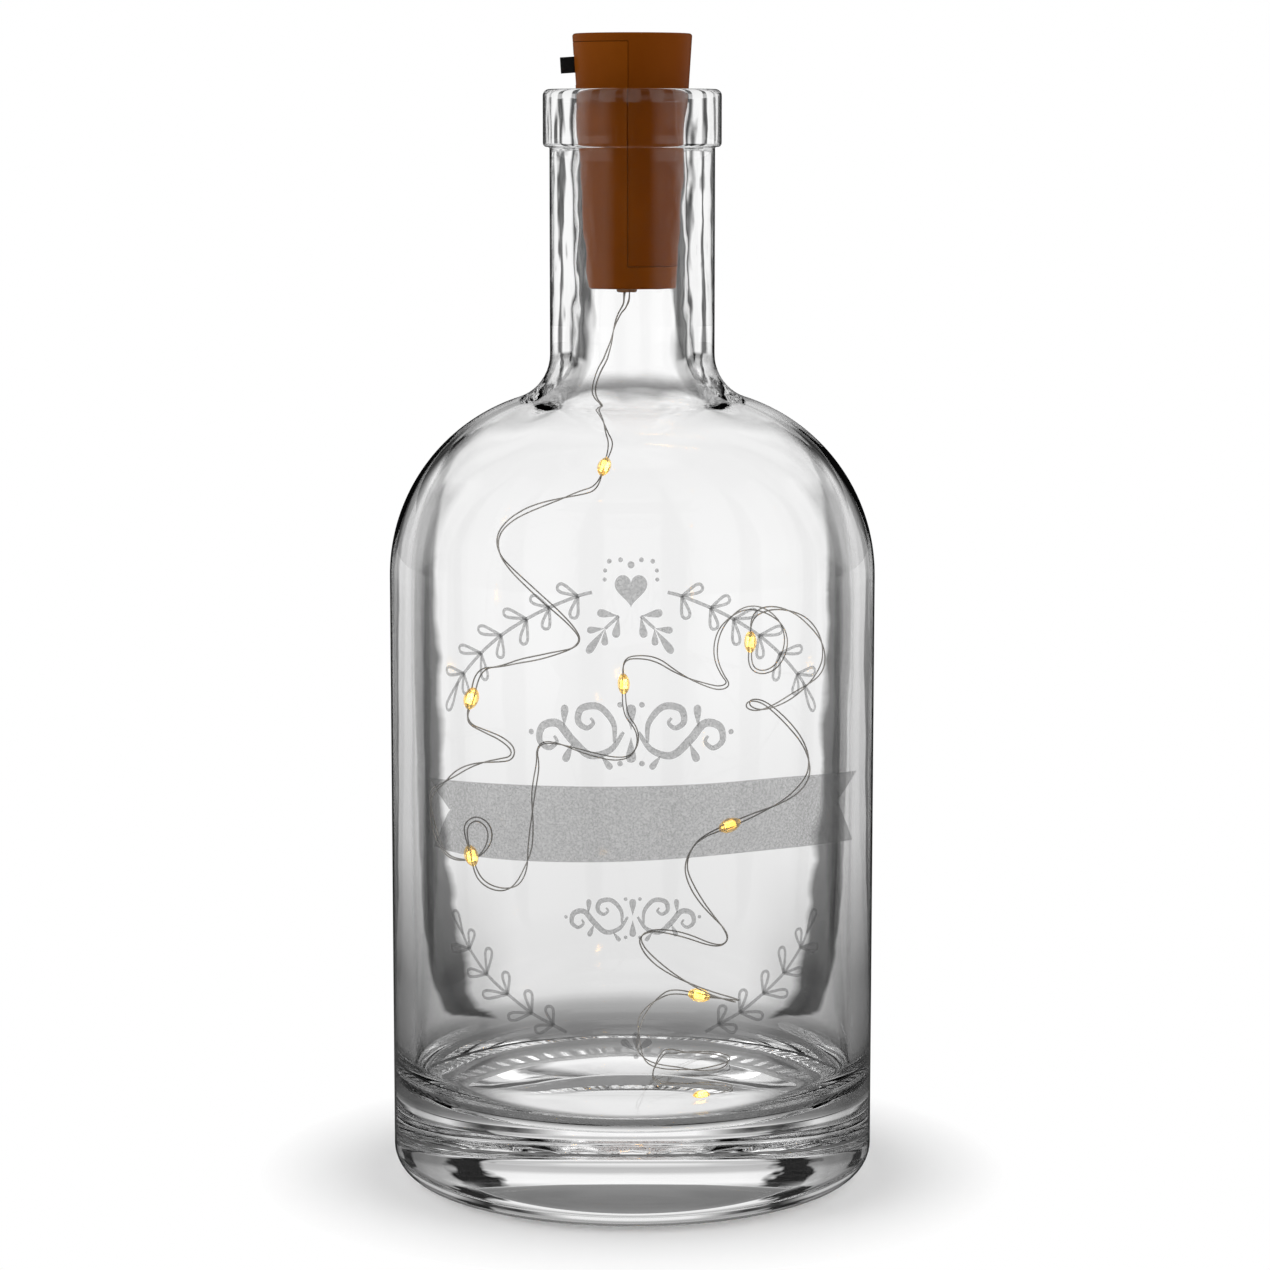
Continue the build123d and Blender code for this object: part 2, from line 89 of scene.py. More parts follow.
def rampNode(nodes, links, factor, stops):
    # Stops are places with a grey value or a colour
    ramp = addNode(nodes, "ShaderNodeValToRGB")
    elements = ramp.color_ramp.elements
    for index, (place, value) in enumerate(stops):
        element = elements[index] if index < 2 else elements.new(place)
        element.position = place
        element.color = (*value, 1) if isinstance(value, tuple) else (value, value, value, 1)
    links.new(factor, ramp.inputs["Fac"])
    return ramp.outputs["Color"]


def noiseNode(nodes, links, scale, detail, stretch=(1, 1, 1)):
    place = addNode(nodes, "ShaderNodeTexCoord")
    mapping = addNode(nodes, "ShaderNodeMapping")
    mapping.inputs["Scale"].default_value = stretch
    pattern = addNode(nodes, "ShaderNodeTexNoise")
    pattern.inputs["Scale"].default_value = scale
    pattern.inputs["Detail"].default_value = detail
    links.new(place.outputs["Object"], mapping.inputs["Vector"])
    links.new(mapping.outputs["Vector"], pattern.inputs["Vector"])
    return pattern.outputs["Fac"]


def addBump(nodes, links, shader, height, strength, distance):
    bump = addNode(nodes, "ShaderNodeBump")
    bump.inputs["Strength"].default_value = strength
    bump.inputs["Distance"].default_value = distance
    links.new(height, bump.inputs["Height"])
    links.new(bump.outputs["Normal"], shader.inputs["Normal"])


def grainedFinish(name, plain, grain, varied, bump=None, bumpGrain=None):
    # Material with plain values, sockets that follow one grain pattern, and a fine bump
    material, nodes, links, shader = newMaterial(name, plain)
    pattern = noiseNode(nodes, links, *grain)
    for socket, stops in varied.items():
        links.new(rampNode(nodes, links, pattern, stops), shader.inputs[socket])
    if bumpGrain:
        pattern = noiseNode(nodes, links, *bumpGrain)
    if bump:
        addBump(nodes, links, shader, pattern, *bump)
    return material


def meshObject(name, vertices, faces, material):
    mesh = bpy.data.meshes.new(name)
    mesh.from_pydata(vertices, [], faces)
    mesh.validate()
    for polygon in mesh.polygons:
        polygon.use_smooth = True
    mesh.materials.append(material)
    piece = bpy.data.objects.new(name, mesh)
    scene.collection.objects.link(piece)
    return piece


def ringFaces(first, rings, corners):
    # Quads between the rings of a tube's points, and a cap at each end
    faces = []
    for ring in range(rings - 1):
        low, high = first + ring * corners, first + (ring + 1) * corners
        for corner in range(corners):
            nextCorner = (corner + 1) % corners
            faces.append((low + corner, low + nextCorner, high + nextCorner, high + corner))
    faces.append(tuple(range(first, first + corners))[::-1])
    faces.append(tuple(range(first + (rings - 1) * corners, first + rings * corners)))
    return faces


# Camera, where the photo was taken from
cameraSettings = {"place": (0.0005, -0.6892, 0.1955), "pitchDown": 7.77, "lens": 105.95, "sensorWidth": 36,
                  "clipStart": 0.01}
camera = bpy.data.objects.new("camera", bpy.data.cameras.new("camera"))
scene.collection.objects.link(camera)
camera.location = cameraSettings["place"]
camera.rotation_euler = (math.radians(90 - cameraSettings["pitchDown"]), 0, 0)
camera.data.lens = cameraSettings["lens"]
camera.data.sensor_width = cameraSettings["sensorWidth"]
camera.data.clip_start = cameraSettings["clipStart"]
scene.camera = camera
# Light that runs inside the thick glass turns many times before it leaves
scene.cycles.max_bounces = 32
scene.cycles.glossy_bounces = 24
scene.cycles.transmission_bounces = 24
print("camera placed")

# Studio: pale wedges of backdrop with darker cards between them, repeated round the bottle so that its sides look
# alike. Each list is a ramp: round one sector, up the backdrop or out along the floor
studioSettings = {
    "repeat": 45, "highRepeat": 90, "glossRepeat": 180,  # degrees in one sector
    "floorColour": 0.95, "floorRoughness": 0.9, "floorLight": 0.8, "floorRadius": 3.0, "floorSides": 64,
    "diffuseLight": [(0.0, 0.3), (0.3, 0.45), (0.65, 1.1), (1.0, 1.3)],
    "insideLight": [(0.0, 0.1), (0.3, 0.5), (0.65, 2.2), (1.0, 2.6)],
    "throughGlass": [(0.0, 1.0), (0.42, 1.0), (0.72, 0.2), (0.84, 0.04), (0.94, 0.08), (1.0, 0.12)],
    "floorWedges": [(0.0, 1.0), (0.6, 1.0), (0.67, 0.14), (0.82, 0.06), (0.92, 0.1), (1.0, 0.15)],
    "wedgeHalfWidth": 0.012, "wedgeWaver": 0.16, "wedgeWaverSteps": (1.5, 7), "wedgeWaverDetail": 5,
    "cardWaver": 0.3, "cardWaverScale": 9,
    "inGloss": [(0.0, 0.01), (0.26, 0.01), (0.42, 1.0), (0.74, 1.0), (0.86, 0.3), (1.0, 0.25)],
    "highBlend": [(0.0, 0.0), (0.56, 0.0), (0.59, 1.0), (0.72, 1.0), (0.76, 0.0)],
    "highCards": [(0.0, 1.0), (0.5, 1.0), (0.55, 0.01), (0.74, 0.01), (0.8, 0.5), (1.0, 0.6)],
    "throughHeights": [(0.0, 1.0), (0.56, 1.0), (0.6, 0.52), (0.64, 0.6), (0.665, 0.95), (0.71, 1.0), (1.0, 1.0)],
    "glossHeights": [(0.0, 0.4), (0.5, 0.5), (0.6, 0.7), (0.7, 0.55), (0.84, 0.35), (1.0, 0.2)],
    "floorGloss": [(0.0, 0.05), (0.1, 0.15), (0.3, 0.8), (0.36, 1.0)],
    # Painted shadow: the floor seen through the glass darkens in a ring round the bottle's foot
    "shadowedFloorThroughGlass": [(0.0, 0.85), (0.0093, 0.85), (0.0115, 0.15), (0.02, 0.22), (0.033, 0.47), (0.05, 0.8),
                          (0.2, 0.93), (1.0, 1.0)],
    "wedgeBlend": [(0.0, 0.0), (0.015, 0.0), (0.03, 1.0), (0.29, 1.0), (0.36, 0.6), (1.0, 0.5)],
    "floorBlend": [(0.0, 0.0), (0.0152, 0.0), (0.023, 1.0)],
}


def foldedAngle(nodes, links, x, y, repeat):
    # Angle round the bottle, folded into half of one sector: 0 at its middle, 1 at its edge
    angle = mathNode(nodes, links, "ARCTAN2", x, y)
    turned = mathNode(nodes, links, "MULTIPLY", angle, 180 / math.pi / repeat)
    return mathNode(nodes, links, "MULTIPLY", mathNode(nodes, links, "PINGPONG", turned, 0.5), 2)


def multiplyColours(nodes, links, first, second):
    product = addNode(nodes, "ShaderNodeMixRGB", blend_type="MULTIPLY", in0=1)
    links.new(first, product.inputs[1])
    links.new(second, product.inputs[2])
    return product.outputs[0]


def mixColours(nodes, links, share, first, second):
    mix = addNode(nodes, "ShaderNodeMixRGB")
    links.new(share, mix.inputs[0])
    for index, value in ((1, first), (2, second)):
        if isinstance(value, (int, float)):
            mix.inputs[index].default_value = (value, value, value, 1)
        else:
            links.new(value, mix.inputs[index])
    return mix.outputs[0]


def addWaver(nodes, links, value, place, amount, scale, detail=2):
    # The value, shifted a little up and down by noise, for uneven edges
    pattern = addNode(nodes, "ShaderNodeTexNoise")
    pattern.inputs["Scale"].default_value = scale
    pattern.inputs["Detail"].default_value = detail
    links.new(place, pattern.inputs["Vector"])
    shift = mathNode(nodes, links, "MULTIPLY_ADD", pattern.outputs["Fac"], amount, -amount / 2)
    return mathNode(nodes, links, "ADD", value, shift)


world = bpy.data.worlds.new("studio")
scene.world = world
world.use_nodes = True
nodes, links = world.node_tree.nodes, world.node_tree.links
nodes.clear()
direction = addNode(nodes, "ShaderNodeTexCoord")
axes = addNode(nodes, "ShaderNodeSeparateXYZ")
links.new(direction.outputs["Generated"], axes.inputs[0])
folded = foldedAngle(nodes, links, axes.outputs["X"], axes.outputs["Y"], studioSettings["repeat"])
glossFolded = foldedAngle(nodes, links, axes.outputs["X"], axes.outputs["Y"], studioSettings["glossRepeat"])
highFolded = foldedAngle(nodes, links, axes.outputs["X"], axes.outputs["Y"], studioSettings["highRepeat"])
highFolded = addWaver(nodes, links, highFolded, direction.outputs["Generated"], studioSettings["cardWaver"],
                      studioSettings["cardWaverScale"])
heightShare = mathNode(nodes, links, "MULTIPLY_ADD", axes.outputs["Z"], 0.5, 0.5)  # 0 straight down, 1 straight up
cards = mixColours(nodes, links, rampNode(nodes, links, heightShare, studioSettings["highBlend"]),
                   rampNode(nodes, links, folded, studioSettings["throughGlass"]),
                   rampNode(nodes, links, highFolded, studioSettings["highCards"]))
through = multiplyColours(nodes, links, cards,
                          rampNode(nodes, links, heightShare, studioSettings["throughHeights"]))
gloss = multiplyColours(nodes, links, rampNode(nodes, links, glossFolded, studioSettings["inGloss"]),
                        rampNode(nodes, links, heightShare, studioSettings["glossHeights"]))
# Glass and gloss see the cards, soft light sees a plain glow, and the camera sees white
rays = addNode(nodes, "ShaderNodeLightPath")
plain = rampNode(nodes, links, glossFolded, studioSettings["diffuseLight"])
studio = mixColours(nodes, links, rays.outputs["Is Glossy Ray"], plain, gloss)
studio = mixColours(nodes, links, rays.outputs["Is Transmission Ray"], studio, through)
afterDiffuse = mathNode(nodes, links, "MINIMUM", rays.outputs["Diffuse Depth"], 1)
inside = rampNode(nodes, links, glossFolded, studioSettings["insideLight"])
studio = mixColours(nodes, links, afterDiffuse, studio, mixColours(
    nodes, links, rays.outputs["Is Transmission Ray"], plain, inside))
studio = mixColours(nodes, links, rays.outputs["Is Camera Ray"], studio, 1.0)
background = addNode(nodes, "ShaderNodeBackground")
output = addNode(nodes, "ShaderNodeOutputWorld")
links.new(studio, background.inputs["Color"])
links.new(background.outputs[0], output.inputs["Surface"])

floorMaterial, nodes, links, shader = newMaterial("floor", {
    "Roughness": studioSettings["floorRoughness"], "Specular IOR Level": 0,
    "Base Color": (*[studioSettings["floorColour"]] * 3, 1)})
position = addNode(nodes, "ShaderNodeNewGeometry")
axes = addNode(nodes, "ShaderNodeSeparateXYZ")
links.new(position.outputs["Position"], axes.inputs[0])
folded = foldedAngle(nodes, links, axes.outputs["X"], axes.outputs["Y"], studioSettings["repeat"])
glossFolded = foldedAngle(nodes, links, axes.outputs["X"], axes.outputs["Y"], studioSettings["glossRepeat"])
distance = mathNode(nodes, links, "SQRT", mathNode(
    nodes, links, "ADD", mathNode(nodes, links, "POWER", axes.outputs["X"], 2),
    mathNode(nodes, links, "POWER", axes.outputs["Y"], 2)))
farShare = mathNode(nodes, links, "DIVIDE", distance, studioSettings["floorRadius"])
halfSector = math.radians(studioSettings["repeat"] / 2)
angle = mathNode(nodes, links, "MULTIPLY", folded, halfSector)
along = mathNode(nodes, links, "MULTIPLY", distance, mathNode(nodes, links, "COSINE", angle))
across = mathNode(nodes, links, "MULTIPLY", distance, mathNode(nodes, links, "SINE", angle))
beyond = mathNode(nodes, links, "SUBTRACT", across, studioSettings["wedgeHalfWidth"])
edgeShare = mathNode(nodes, links, "DIVIDE", mathNode(nodes, links, "ARCTAN2", beyond, along), halfSector)
logDistance = mathNode(nodes, links, "LOGARITHM", distance, math.e)
polar = addNode(nodes, "ShaderNodeCombineXYZ")  # angle and distance in even steps, so that the waver grows outwards
for index, (value, step) in enumerate(zip((folded, logDistance), studioSettings["wedgeWaverSteps"])):
    links.new(mathNode(nodes, links, "MULTIPLY", value, step), polar.inputs[index])
edgeShare = addWaver(nodes, links, edgeShare, polar.outputs[0], studioSettings["wedgeWaver"], 1,
                     studioSettings["wedgeWaverDetail"])
wedges = mixColours(nodes, links, rampNode(nodes, links, farShare, studioSettings["wedgeBlend"]),
                    1.0, rampNode(nodes, links, edgeShare, studioSettings["floorWedges"]))
# Painted shadow: through the glass the floor darkens in a ring round the bottle's foot
through = multiplyColours(nodes, links, wedges, rampNode(
    nodes, links, farShare, studioSettings["shadowedFloorThroughGlass"]))
gloss = multiplyColours(nodes, links, rampNode(nodes, links, glossFolded, studioSettings["inGloss"]),
                        rampNode(nodes, links, farShare, studioSettings["floorGloss"]))
# Glass and gloss see the cards go on over the floor; the camera sees its shadows near the bottle, and white beyond
rays = addNode(nodes, "ShaderNodeLightPath")
glow = addNode(nodes, "ShaderNodeEmission")
seen = mixColours(nodes, links, rays.outputs["Is Transmission Ray"], gloss, through)
afterDiffuse = mathNode(nodes, links, "MINIMUM", rays.outputs["Diffuse Depth"], 1)
seen = mixColours(nodes, links, afterDiffuse, seen, studioSettings["floorLight"])
links.new(mixColours(nodes, links, rays.outputs["Is Camera Ray"], seen, 1.0), glow.inputs["Color"])
glassRay = mathNode(nodes, links, "MAXIMUM", rays.outputs["Is Transmission Ray"], rays.outputs["Is Glossy Ray"])
blend = rampNode(nodes, links, farShare, studioSettings["floorBlend"])
glowShare = mathNode(nodes, links, "MAXIMUM", glassRay, mathNode(
    nodes, links, "MULTIPLY", blend, rays.outputs["Is Camera Ray"]))
floorMix = addNode(nodes, "ShaderNodeMixShader")
links.new(glowShare, floorMix.inputs[0])
links.new(shader.outputs[0], floorMix.inputs[1])
links.new(glow.outputs[0], floorMix.inputs[2])
links.new(floorMix.outputs[0], nodes["Material Output"].inputs["Surface"])
floorTurns = [2 * math.pi * i / studioSettings["floorSides"] for i in range(studioSettings["floorSides"])]
floorRim = [(studioSettings["floorRadius"] * math.cos(turn), studioSettings["floorRadius"] * math.sin(turn), 0)
            for turn in floorTurns]
floor = meshObject("floor", floorRim, [list(range(len(floorRim)))], floorMaterial)

lampSettings = {
    "aim": (0, 0, 0.12), "size": (0.5, 0.9),
    "lamps": {"keyLamp": ((-1.15, -0.45, 0.8), 2.6), "fillLamp": ((1.15, -0.35, 0.6), 1.6)},  # place and power
}
for name, (place, power) in lampSettings["lamps"].items():
    lamp = bpy.data.objects.new(name, bpy.data.lights.new(name, "AREA"))
    scene.collection.objects.link(lamp)
    lamp.data.shape = "RECTANGLE"
    lamp.data.size, lamp.data.size_y = lampSettings["size"]
    lamp.data.energy = power
    lamp.location = place
    lamp.visible_glossy = False
    aim = Vector(lampSettings["aim"]) - lamp.location
    lamp.rotation_euler = aim.to_track_quat("-Z", "Y").to_euler()
print("studio lit")

# Glass bottle in mm, turned from its outline, with an uneven inner wall and a knurled foot
bottleSettings = {
    "radius": 44.93, "height": 202, "wall": 3.8, "heel": 5.5, "shoulderHeight": 112.9, "shoulderRadius": 34.43,
    "neck": 15.15, "neckFillet": 8.5, "neckInnerFillet": 12, "bore": 10.43, "mouthRound": 1,
    "lip": 16.35, "lipLength": 10.5, "lipRound": 1.2, "lipUnder": 0.25, "lipBottom": 0.75,
    "floorHeight": 16.5, "floorCorner": 8, "footWidth": 12, "pushUp": 3, "pushUpSteps": 12, "pushUpRound": 1.5,
    "capRadius": 0.02, "sides": 256,
    "knurls": 64, "knurlDepth": 0.25, "knurlInset": (2.2, 4.6), "knurlTop": 0.2,  # on the flat ring of the foot
    # Inside of the shoulder's top: how much higher, how uneven round the bottle, and the heights where it fades
    "thinTop": 1.6, "thinSway": 0.12, "swayScale": 2.2, "swaySeed": 4, "shoulderTop": 140, "thinFade": (175, 152),
    "neckFlare": 0.6, "flareFade": (170, 150),
    # Waves of the inner wall, in the body and in the neck, and the heights between which they start or calm down
    "waveHeight": 0.05, "waveScale": 1.5, "waveRise": 0.02, "waveFractal": (0.8, 2.1, 3),
    "rippleShare": 0.15, "rippleScale": 9, "rippleRise": 0.12, "floorCalm": 6, "plainMiddle": 2,
    "neckWave": 0.26, "neckBase": 0.3, "neckStart": (150, 162), "mouthCalm": (201, 196),
    "neckStreaks": [(0.4, 3.2, (3, 1), 0.03), (0.25, 5, (7, 2), 0.3), (0.16, 9, (5, 8), 1.1)],
    # Glass: plain values, then ramps of painted shade by how far a face turns from the viewer, by height or by slope
    "ior": 1.5, "shine": 1.0, "innerShine": 0.05, "grain": (180, 2, (1, 1, 0.25)), "grainBump": (0.008, 0.0001),
    "edges": [(0.0, 1.0), (0.41, 1.0), (0.46, 0.6), (0.59, 0.45), (0.63, 0.55), (0.8, 0.6), (0.86, 0.45),
              (0.885, 0.006), (1.0, 0.0005)],
    "lowEdgeShadeRamp": [(0.0, 1.0), (0.14, 1.0), (0.24, 0.5), (0.45, 0.32), (0.58, 0.16), (0.8, 0.1), (0.86, 0.06),
                 (0.885, 0.004), (1.0, 0.0005)],
    "lowShare": [(0.0, 0.3), (0.07, 0.3), (0.1, 1.0), (0.2, 1.0), (0.33, 0.0)],
    "neckEdgeShadeRamp": [(0.0, 1.0), (0.62, 1.0), (0.72, 0.6), (0.78, 0.02), (1.0, 0.001)],
    "neckShare": [(0.0, 0.0), (0.7, 0.0), (0.76, 1.0)],
    "topShare": [(0.0, 0.0), (0.63, 0.0), (0.68, 1.0)], "flatShare": [(0.0, 0.0), (0.6, 0.0), (0.85, 1.0)],
    # Painted shade: a grey band in the inner glass round the neck's foot
    "footShadeWaver": 0.03, "footShadeGrain": (90, 2),
    "footShade": [(0.0, 1.0), (0.734, 1.0), (0.742, 0.26), (0.749, 0.4), (0.76, 1.0), (1.0, 1.0)],
}


def arcPoints(centre, radius, start, end, count):
    # Points along an arc, its angles in degrees
    return [(centre[0] + radius * math.cos(math.radians(start + (end - start) * i / count)),
             centre[1] + radius * math.sin(math.radians(start + (end - start) * i / count)))
            for i in range(count + 1)]


def roundCorner(before, corner, after, radius, count):
    # Arc that rounds the corner between two straight lines
    corner = Vector(corner)
    toBefore = (Vector(before) - corner).normalized()
    toAfter = (Vector(after) - corner).normalized()
    half = toBefore.angle(toAfter) / 2
    middle = corner + (toBefore + toAfter).normalized() * radius / math.sin(half)
    first = corner + toBefore * radius / math.tan(half) - middle
    last = corner + toAfter * radius / math.tan(half) - middle
    turn = first.angle(last)
    points = []
    for i in range(count + 1):
        share = i / count
        point = (first * math.sin((1 - share) * turn) + last * math.sin(share * turn)) / math.sin(turn)
        points.append(tuple(middle + point))
    return points


def steps(start, end, size):
    # Points on a straight run, without its ends
    count = max(int((Vector(end) - Vector(start)).length / size), 1)
    return [tuple(Vector(start).lerp(Vector(end), i / count)) for i in range(1, count)]


def footFillet(wallRadius, centre, shoulderRadius, fillet):
    # Fillet between the neck's upright wall and the shoulder's arc: its centre, and the angle where it meets the arc
    middleX = wallRadius + fillet
    middleZ = centre[1] + math.sqrt((shoulderRadius + fillet)**2 - (middleX - centre[0])**2)
    return (middleX, middleZ), math.degrees(math.atan2(middleZ - centre[1], middleX - centre[0]))


b = bottleSettings
shoulderCentre = (b["radius"] - b["shoulderRadius"], b["shoulderHeight"])
innerRadius = b["radius"] - b["wall"]
innerShoulder = b["shoulderRadius"] - b["wall"]
lipBottom = b["height"] - b["lipLength"]
pushRadius = b["radius"] - b["footWidth"]
neckMiddle, neckAngle = footFillet(b["neck"], shoulderCentre, b["shoulderRadius"], b["neckFillet"])
boreMiddle, boreAngle = footFillet(b["bore"], shoulderCentre, innerShoulder, b["neckInnerFillet"])

# Corners of the outline before they are rounded, as radius and height
pushCorner, heelCorner, floorEdge = (pushRadius, 0), (b["radius"], 0), (innerRadius, b["floorHeight"])
neckTop, lipFoot = (b["neck"], lipBottom), (b["lip"], lipBottom)
lipTop, boreTop = (b["lip"], b["height"]), (b["bore"], b["height"])

# Outline from the middle of the push-up, up the outside, then down the inside to the middle of the floor
outline = [(b["capRadius"], b["pushUp"])]
outline += [(pushRadius * i / b["pushUpSteps"], b["pushUp"] * (1 - (i / b["pushUpSteps"])**2))
            for i in range(1, b["pushUpSteps"])]
outline += roundCorner(outline[-1], pushCorner, heelCorner, b["pushUpRound"], count=3)
outline += steps(outline[-1], (b["radius"] - b["heel"], 0), size=0.6)
outline += roundCorner(pushCorner, heelCorner, (b["radius"], b["height"]), b["heel"], count=12)
outline += steps(outline[-1], (b["radius"], b["shoulderHeight"]), size=3)
outline += arcPoints(shoulderCentre, b["shoulderRadius"], 0, neckAngle, count=40)
outline += arcPoints(neckMiddle, b["neckFillet"], neckAngle - 180, -180, count=10)[1:]
outline += steps(outline[-1], (b["neck"], lipBottom - b["lipUnder"]), size=3)
outline += roundCorner((b["neck"], 0), neckTop, lipFoot, b["lipUnder"], count=4)
outline += roundCorner(neckTop, lipFoot, lipTop, b["lipBottom"], count=4)[1:]
outline += steps(outline[-1], (b["lip"], b["height"] - b["lipRound"]), size=2)
outline += roundCorner(lipFoot, lipTop, boreTop, b["lipRound"], count=8)
outline += steps(outline[-1], (b["bore"] + b["mouthRound"], b["height"]), size=1.5)
outline += roundCorner(lipTop, boreTop, (b["bore"], lipBottom), b["mouthRound"], count=6)
innerStart = len(outline)
outline += steps(outline[-1], (b["bore"], boreMiddle[1]), size=1.5)
outline += arcPoints(boreMiddle, b["neckInnerFillet"], 180, boreAngle + 180, count=12)
outline += arcPoints(shoulderCentre, innerShoulder, boreAngle, 0, count=40)[1:]
outline += steps(outline[-1], (innerRadius, b["floorHeight"] + b["floorCorner"]), size=1.5)
outline += roundCorner((innerRadius, b["height"]), floorEdge, (0, b["floorHeight"]), b["floorCorner"], count=14)
outline += steps(outline[-1], (b["capRadius"], b["floorHeight"]), size=2)
outline += [(b["capRadius"], b["floorHeight"])]


def unevenRadius(r, height, turn):
    # Inner wall: wider at the neck's foot, long waves in the body, streaks in the neck
    around = Vector((math.cos(turn), math.sin(turn), 0))
    inNeck = smooth(*b["neckStart"], height)
    offFloor = smooth(b["floorHeight"], b["floorHeight"] + b["floorCalm"], height)
    r += b["neckFlare"] * smooth(*b["flareFade"], height) * smooth(b["shoulderHeight"], b["shoulderTop"], height)
    wave = noise.fractal(around * b["waveScale"] + Vector((0, 0, height * b["waveRise"])), *b["waveFractal"])
    ripple = noise.noise(around * b["rippleScale"] + Vector((0, 0, height * b["rippleRise"])))
    r += (wave * b["waveHeight"] + ripple * b["waveHeight"] * b["rippleShare"]) * (1 - inNeck) * offFloor
    streaks = b["neckBase"]
    for share, scale, seed, rise in b["neckStreaks"]:
        streaks += share * noise.noise(around * scale + Vector((*seed, height * rise)))
    return r + streaks * b["neckWave"] * inNeck * smooth(*b["mouthCalm"], height)


def raisedHeight(z, height, turn):
    # Inside of the shoulder's top, a little higher than its plain arc
    sway = 1 + b["thinSway"] * noise.noise(Vector((
        b["swayScale"] * math.cos(turn), b["swayScale"] * math.sin(turn), b["swaySeed"])))
    raised = b["thinTop"] * sway * smooth(b["shoulderHeight"], b["shoulderTop"], height)
    return z + raised * smooth(*b["thinFade"], height)


sides = b["sides"]
vertices = []
for ring, (radius, height) in enumerate(outline):
    isKnurled = pushRadius + b["knurlInset"][0] < radius < b["radius"] - b["knurlInset"][1] and height < b["knurlTop"]
    for side in range(sides):
        turn = 2 * math.pi * side / sides
        r, z = radius, height
        if ring >= innerStart:
            z = raisedHeight(z, height, turn)
            if radius > b["plainMiddle"]:
                r = unevenRadius(r, height, turn)
        elif isKnurled:
            z += b["knurlDepth"] * (0.5 + 0.5 * math.cos(turn * b["knurls"]))
        vertices.append((r * math.cos(turn) * mm, r * math.sin(turn) * mm, z * mm))


def paintedEdgeShade(nodes, links, height):
    # Painted shade: the glass colour darkens at the rounded edges, where faces turn away from the viewer, except on
    # top of the shoulder
    facing = addNode(nodes, "ShaderNodeLayerWeight").outputs["Facing"]
    surface = addNode(nodes, "ShaderNodeNewGeometry")
    normal = addNode(nodes, "ShaderNodeSeparateXYZ")
    links.new(surface.outputs["Normal"], normal.inputs[0])
    steep = mathNode(nodes, links, "ABSOLUTE", normal.outputs["Z"])
    nearTop = mathNode(nodes, links, "MULTIPLY", steep, rampNode(nodes, links, height, b["topShare"]))
    flat = rampNode(nodes, links, mathNode(nodes, links, "ADD", steep, nearTop), b["flatShare"])
    edgeShade = rampNode(nodes, links, facing, b["edges"])
    for share, edges in (("lowShare", "lowEdgeShadeRamp"), ("neckShare", "neckEdgeShadeRamp")):
        edgeShade = mixColours(nodes, links, rampNode(nodes, links, height, b[share]), edgeShade,
                           rampNode(nodes, links, facing, b[edges]))
    return mixColours(nodes, links, flat, edgeShade, 1.0)


def paintedFootShade(nodes, links, height):
    # Painted shade: a soft grey band in the glass round the neck's foot
    unevenness = mathNode(nodes, links, "MULTIPLY", noiseNode(nodes, links, *b["footShadeGrain"]), b["footShadeWaver"])
    return rampNode(nodes, links, mathNode(nodes, links, "ADD", height, unevenness), b["footShade"])


def makeGlass(name, shine, paint):
    material, nodes, links, shader = newMaterial(name, {
        "Roughness": 0.0, "IOR": b["ior"], "Transmission Weight": 1, "Specular Tint": (shine, shine, shine, 1)})
    addBump(nodes, links, shader, noiseNode(nodes, links, *b["grain"]), *b["grainBump"])
    surface = addNode(nodes, "ShaderNodeNewGeometry")
    place = addNode(nodes, "ShaderNodeSeparateXYZ")
    links.new(surface.outputs["Position"], place.inputs[0])
    height = mathNode(nodes, links, "MULTIPLY", place.outputs["Z"], 1 / (b["height"] * mm))  # 1 at the mouth
    links.new(paint(nodes, links, height), shader.inputs["Base Color"])
    return material


# Outer glass with painted shade at its edges
bottle = meshObject("glassBottle", vertices, ringFaces(0, len(outline), sides),
                    makeGlass("clearGlass", b["shine"], paintedEdgeShade))
# Inner glass with a painted band of shade round the neck's foot
bottle.data.materials.append(makeGlass("innerGlass", b["innerShine"], paintedFootShade))
for polygon in bottle.data.polygons:
    polygon.material_index = 1 if polygon.index >= innerStart * sides else 0
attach(bottle, "bottle")
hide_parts("bottle")
print("glass turned")

# Cork: satin plastic with soft mottling; the cover half is a darker copy of the body's colours, painted shade
corkSettings = {
    "halves": {"bodyPlastic": [(0.3, (0.175, 0.041, 0.001)), (0.7, (0.205, 0.052, 0.003))],
               # The cover's darker colours are painted shade
               "shadedCoverPlastic": [(0.3, (0.158, 0.035, 0.001)), (0.7, (0.185, 0.045, 0.002))]},
    "finish": {"plain": {"Roughness": 0.38, "Specular IOR Level": 0.03}, "grain": (90, 4, (1, 1, 0.4)),
               "bump": (0.08, 0.0001), "bumpGrain": (2500, 2)},
}
finishes = {}
for name, colours in corkSettings["halves"].items():
    finishes[name] = grainedFinish(name, varied={"Base Color": colours}, **corkSettings["finish"])

